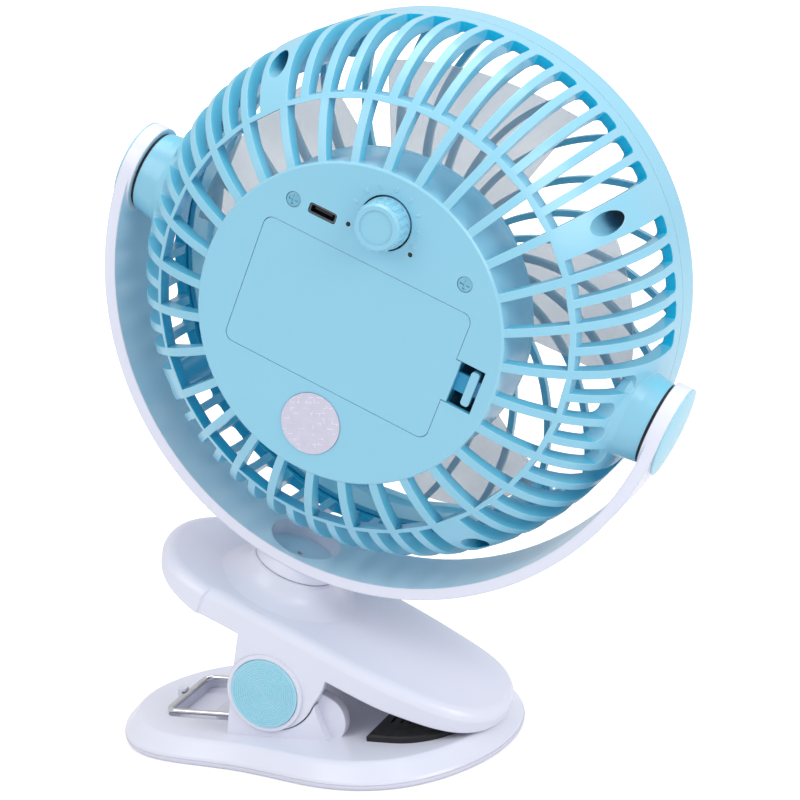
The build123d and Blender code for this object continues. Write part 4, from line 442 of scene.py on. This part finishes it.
def dress_nodes(material, *names):
    """Give solids that stay as they are one material."""
    for name in names:
        dress(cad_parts[name], material)


# ------------------------------------------------------------------
# Operators, one for each group of pieces
# ------------------------------------------------------------------
class FanOperator:
    """What the fan's operators share."""
    bl_options = {"REGISTER", "UNDO"}

    @property
    def colours(self):
        return bpy.context.scene.fan_colours

    @property
    def sizes(self):
        return bpy.context.scene.fan_sizes


class FAN_OT_stage(FanOperator, bpy.types.Operator):
    """Lay the pale floor, hang the soft lamps and set the camera"""
    bl_idname = "clip_fan.stage"
    bl_label = "Stage"

    def execute(self, context):
        scene = context.scene
        scene.view_settings.view_transform = "Standard"
        surface = self.floor_surface()
        for part in self.floor():
            dress(part, surface)
        self.world(scene)
        for name, spot, size, share in LAMPS:
            self.lamp(name, spot, size, share * self.sizes.lamp)
        self.camera(scene)
        return {"FINISHED"}

    def floor(self):
        """Flat round floor and its middle: rings whose radius is the square of an evenly growing
        number, so that they lie closer together near the fan."""
        turns, rings = 96, 12
        turn, reach = np.meshgrid(np.arange(turns) * 2 * np.pi / turns,
                                  np.linspace(0.05, 1, rings) ** 2 * self.sizes.floor_radius)
        points = np.stack([reach * np.cos(turn), reach * np.sin(turn), np.zeros_like(reach)], -1)
        points = np.vstack([points.reshape(-1, 3), [[0, 0, 0]]])
        k, j = np.meshgrid(np.arange(turns), np.arange(rings - 1))
        after = (k + 1) % turns
        quads = np.stack([j * turns + k, (j + 1) * turns + k,
                          (j + 1) * turns + after, j * turns + after], -1)
        first = np.arange(turns)
        fan = np.stack([np.full(turns, turns * rings), first, (first + 1) % turns], -1)
        return (from_arrays("floor", points, quads.reshape(-1, 4)),
                from_arrays("floor_middle", points, fan))

    def floor_surface(self):
        """Pale floor: it keeps the shadow near the fan and turns to plain white further out, as the
        camera sees it."""
        f = Finish("pale floor")
        grain = f.span(f.noise(14.0, 4.0), 0.3, 0.7)
        ray = f.add("ShaderNodeLightPath").outputs["Is Camera Ray"]
        glow = f.span(f.vector("LENGTH", f.place, output="Value"), 0.20, 1.10, 0.34, 1.0)
        base = f.blend(grain, (0.78, 0.78, 0.80), (0.81, 0.81, 0.83))
        return f.put(Base_Color=base, Roughness=0.75, Emission_Color=(1, 1, 1),
                     Emission_Strength=f.maths("MULTIPLY", ray, glow))

    def world(self, scene):
        """Even pale surroundings, plain white for the camera and for rays that pass through a
        see-through piece."""
        sky = bpy.data.worlds.new("pale studio")
        sky.use_nodes = True
        scene.world = sky
        nodes, links = sky.node_tree.nodes, sky.node_tree.links
        back = nodes["Background"]
        back.inputs["Color"].default_value = (1, 1, 1, 1)
        rays = nodes.new("ShaderNodeLightPath")
        seen = nodes.new("ShaderNodeMath")
        seen.operation = "MAXIMUM"
        links.new(rays.outputs["Is Camera Ray"], seen.inputs[0])
        links.new(rays.outputs["Is Transmission Ray"], seen.inputs[1])
        strength = nodes.new("ShaderNodeMapRange")
        links.new(seen.outputs[0], strength.inputs[0])
        strength.inputs[3].default_value = SKY_LIGHT
        strength.inputs[4].default_value = 1.0
        links.new(strength.outputs[0], back.inputs["Strength"])

    def lamp(self, name, spot, size, power):
        """A square soft lamp that looks at the fan."""
        light = bpy.data.lights.new(name, "AREA")
        light.energy = power
        light.size = size
        made = bpy.data.objects.new(name, light)
        bpy.context.scene.collection.objects.link(made)
        made.location = spot
        made.rotation_euler = (LAMP_AIM - Vector(spot)).to_track_quat("-Z", "Y").to_euler()

    def camera(self, scene):
        """Camera that looks down at the fan's back from one side, a little rolled. Its three axes
        are worked out from the two angles, and the roll turns the first two about the third."""
        lens = bpy.data.cameras.new("camera")
        lens.sensor_width = 36.0
        lens.lens = CAMERA_LENS
        lens.clip_start = 0.05
        lens.clip_end = 40.0
        made = bpy.data.objects.new("camera", lens)
        scene.collection.objects.link(made)
        back = Vector((sin(CAMERA_ROUND) * cos(CAMERA_RISE), -cos(CAMERA_ROUND) * cos(CAMERA_RISE),
                       sin(CAMERA_RISE)))
        right = Vector((cos(CAMERA_ROUND), sin(CAMERA_ROUND), 0.0))
        up = back.cross(right)
        turn, hold = sin(CAMERA_ROLL), cos(CAMERA_ROLL)
        right, up = right * hold + up * turn, up * hold - right * turn
        place = Matrix((right, up, back)).transposed().to_4x4()
        place.translation = CAMERA_PLACE
        made.matrix_world = place
        scene.camera = made


class FAN_OT_clip(FanOperator, bpy.types.Operator):
    """Finish the clip: both jaws, bottom cover, grip pads and round caps"""
    bl_idname = "clip_fan.clip"
    bl_label = "Clip"

    def execute(self, context):
        colours, sizes = self.colours, self.sizes
        # painted highlight on the edges of the clip's and the foot's white mouldings
        dress_nodes(moulded("clip white plastic", colours.clip, sizes.grain, sizes.jaw_edge),
                    "lower_jaw", "upper_jaw")
        dress_nodes(moulded("foot white plastic", colours.foot, sizes.grain, sizes.jaw_edge,
                            (0.34, 0.44)), "lower_jaw_cover")
        dress_nodes(soft_rubber("grip rubber", colours.rubber), "lower_jaw_pad", "upper_jaw_pad")
        # painted light in the hinge caps' grooves
        dress_nodes(ringed_cap("ringed cap plastic", colours.caps, colours.shell_painted_light, sizes.grain),
                    "hinge_cap_near", "hinge_cap_far")
        # painted highlight on the yoke caps' edges
        dress_nodes(moulded("cap blue plastic", colours.caps, sizes.grain, sizes.rib_edge,
                            (0.21, 0.26), colours.shell_painted_light), "yoke_cap_left", "yoke_cap_right")
        return {"FINISHED"}


class FAN_OT_hardware(FanOperator, bpy.types.Operator):
    """Finish spring, pin, shaft, washers and screws"""
    bl_idname = "clip_fan.hardware"
    bl_label = "Spring, pins and screws"

    def execute(self, context):
        # the spring wire is a joined copy of its solid, and the solid is hidden
        spring = merged_copy("jaw_spring_wire", "jaw_spring")
        dress(spring, metal("spring wire", (0.74, 0.74, 0.76), 0.15, (0.2, 1, 1)))
        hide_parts("jaw_spring")
        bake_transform(spring)
        dress_nodes(metal("turned steel", (0.66, 0.66, 0.68), 0.34, (1, 0.2, 1)),
                    "hinge_pin", "motor_shaft")
        dress_nodes(metal("zinc plate", (0.62, 0.62, 0.63), 0.34), "base_screws", "cage_screws",
                    "motor_screws", "pivot_screws", "swivel_screw", "swivel_washer")
        dress_nodes(metal("blue lacquered steel", self.colours.shell, 0.18), "housing_screws")
        dress_nodes(soft_rubber("washer rubber", self.colours.rubber),
                    "friction_washer_left", "friction_washer_right")
        return {"FINISHED"}


class FAN_OT_yoke(FanOperator, bpy.types.Operator):
    """Finish the white half-ring yoke, with painted blue bounce light on its inner face"""
    bl_idname = "clip_fan.yoke"
    bl_label = "Yoke"

    def execute(self, context):
        colours, sizes = self.colours, self.sizes
        # painted highlight on the yoke's edges, and painted blue bounce light on its inner face
        dress_nodes(moulded("yoke white plastic", colours.yoke, sizes.grain, sizes.jaw_edge,
                            painted_bounce=colours.painted_bounce), "yoke_bracket")
        return {"FINISHED"}


class FAN_OT_rear_grille(FanOperator, bpy.types.Operator):
    """Finish the rear grille's ribs, disc and drum"""
    bl_idname = "clip_fan.rear_grille"
    bl_label = "Rear grille"

    def execute(self, context):
        colours, sizes = self.colours, self.sizes
        # painted highlight on the rib edges, painted shade on the ribs' sides, inner faces and slot
        # ends, and in the finger scoop
        dress_nodes(moulded("grille blue plastic", colours.shell, sizes.grain, sizes.rib_edge,
                            pale=colours.shell_painted_light, side=colours.shell_side_shade,
                            deep=colours.shell_deep_shade, scoop_shade=colours.scoop_shade), "rear_grille")
        return {"FINISHED"}


class FAN_OT_front_grille(FanOperator, bpy.types.Operator):
    """Finish the front grille's swept bars"""
    bl_idname = "clip_fan.front_grille"
    bl_label = "Front grille"

    def execute(self, context):
        colours, sizes = self.colours, self.sizes
        # painted highlight on the bar edges, and painted light on the bars' side and inner faces
        dress_nodes(moulded("front blue plastic", colours.shell, sizes.grain, sizes.rib_edge,
                            pale=colours.shell_painted_light, side=colours.bars, deep=colours.bars),
                    "front_grille")
        return {"FINISHED"}


class FAN_OT_impeller(FanOperator, bpy.types.Operator):
    """Finish the impeller, and the motor with its cup"""
    bl_idname = "clip_fan.impeller"
    bl_label = "Impeller and motor"

    def execute(self, context):
        colours, sizes = self.colours, self.sizes
        dress_nodes(frosted("frosted impeller", colours.blade), "fan_blade")
        # painted highlight on the drum's edges
        dress_nodes(moulded("drum blue plastic", colours.drum, sizes.grain, sizes.rib_edge, SATIN,
                            colours.shell_painted_light), "motor_housing")
        dress_nodes(metal("motor can", (0.60, 0.60, 0.62), 0.34, (1, 0.1, 1)), "motor")
        return {"FINISHED"}


class FAN_OT_battery(FanOperator, bpy.types.Operator):
    """Finish battery cover, latch, cells and contacts"""
    bl_idname = "clip_fan.battery"
    bl_label = "Battery bay"

    def execute(self, context):
        colours, sizes = self.colours, self.sizes
        # painted highlight on the cover's edges, and painted shade in its finger scoop
        dress_nodes(moulded("cover blue plastic", colours.shell, sizes.grain, sizes.fine_edge,
                            pale=colours.shell_painted_light, scoop_shade=colours.scoop_shade), "battery_cover")
        dress_nodes(self.latch_plastic(colours, sizes), "battery_cover_latch")
        dress_nodes(shrink_wrap("cell wrap"), "battery_cell_upper", "battery_cell_lower")
        dress_nodes(metal("nickel", (0.76, 0.74, 0.69), 0.18), "battery_contacts")
        return {"FINISHED"}

    def latch_plastic(self, colours, sizes):
        """Blue plastic with a painted highlight on its edges, and painted shade, the scoop's dark
        blue, on its thin plate, left of the finger bar and under it."""
        f = Finish("latch blue plastic")
        round_normal, border = f.edges(sizes.fine_edge)
        base = f.flow(colours.shell, 0.01)
        # painted highlight: the edges are blended toward the paler blue
        base = f.blend(f.maths("MULTIPLY", border, 0.7), base, colours.shell_painted_light)
        # painted shade: the plate left of the finger bar and the deeper faces take the scoop's dark
        # blue
        left = f.span(f.measured(ALONG), *LATCH_PLATE_ENDS)
        under = f.maths("MAXIMUM", left, f.span(f.measured(BACKWARD), *LATCH_DEPTHS))
        return f.put(Base_Color=f.blend(under, base, colours.scoop_shade), Roughness=f.gloss(0.21, 0.26),
                     Normal=f.skin(sizes.grain, round_normal))


class FAN_OT_controls(FanOperator, bpy.types.Operator):
    """Finish knob, charging socket, lights, badge and the board behind them"""
    bl_idname = "clip_fan.controls"
    bl_label = "Controls"

    def execute(self, context):
        colours, sizes = self.colours, self.sizes
        # painted highlight on the edges of the knob, the lens and the black moulding
        dress_nodes(moulded("knob blue plastic", colours.shell, sizes.grain, sizes.fine_edge,
                            pale=colours.shell_painted_light), "speed_knob")
        dress_nodes(socket_steel("socket steel"), "usb_socket")
        dress_nodes(moulded("dark lens", tone("06151c"), 0.000003, 0.0001, (0.08, 0.16)),
                    "charge_lights")
        dress_nodes(badge_foil("badge foil", colours.badge), "back_badge")
        dress_nodes(solder_mask("solder mask"), "circuit_board")
        dress_nodes(moulded("black moulding", tone("1c1c1f"), 0.00001, 0.0002, (0.40, 0.52)),
                    "speed_potentiometer")
        return {"FINISHED"}


OPERATORS = (FAN_OT_stage, FAN_OT_clip, FAN_OT_hardware, FAN_OT_yoke, FAN_OT_rear_grille,
             FAN_OT_front_grille, FAN_OT_impeller, FAN_OT_battery, FAN_OT_controls)


class FAN_PT_panel(bpy.types.Panel):
    """Lists the fan's operators and settings"""
    bl_idname = "FAN_PT_panel"
    bl_label = "Clip fan"
    bl_space_type = "VIEW_3D"
    bl_region_type = "UI"
    bl_category = "Clip fan"

    def draw(self, context):
        for operator in OPERATORS:
            self.layout.operator(operator.bl_idname)
        for group in (context.scene.fan_colours, context.scene.fan_sizes):
            box = self.layout.box()
            for key in group.bl_rna.properties.keys():
                if key not in ("rna_type", "name"):
                    box.prop(group, key)


CLASSES = (FanColours, FanSizes, *OPERATORS, FAN_PT_panel)


def register():
    for kind in CLASSES:
        bpy.utils.register_class(kind)
    bpy.types.Scene.fan_colours = bpy.props.PointerProperty(type=FanColours)
    bpy.types.Scene.fan_sizes = bpy.props.PointerProperty(type=FanSizes)


def unregister():
    del bpy.types.Scene.fan_sizes
    del bpy.types.Scene.fan_colours
    for kind in reversed(CLASSES):
        bpy.utils.unregister_class(kind)


def main():
    """Dress the whole fan."""
    register()
    bpy.ops.clip_fan.stage()
    bpy.ops.clip_fan.clip()
    bpy.ops.clip_fan.hardware()
    bpy.ops.clip_fan.yoke()
    bpy.ops.clip_fan.rear_grille()
    bpy.ops.clip_fan.front_grille()
    bpy.ops.clip_fan.impeller()
    bpy.ops.clip_fan.battery()
    bpy.ops.clip_fan.controls()


if __name__ == "__main__":
    main()
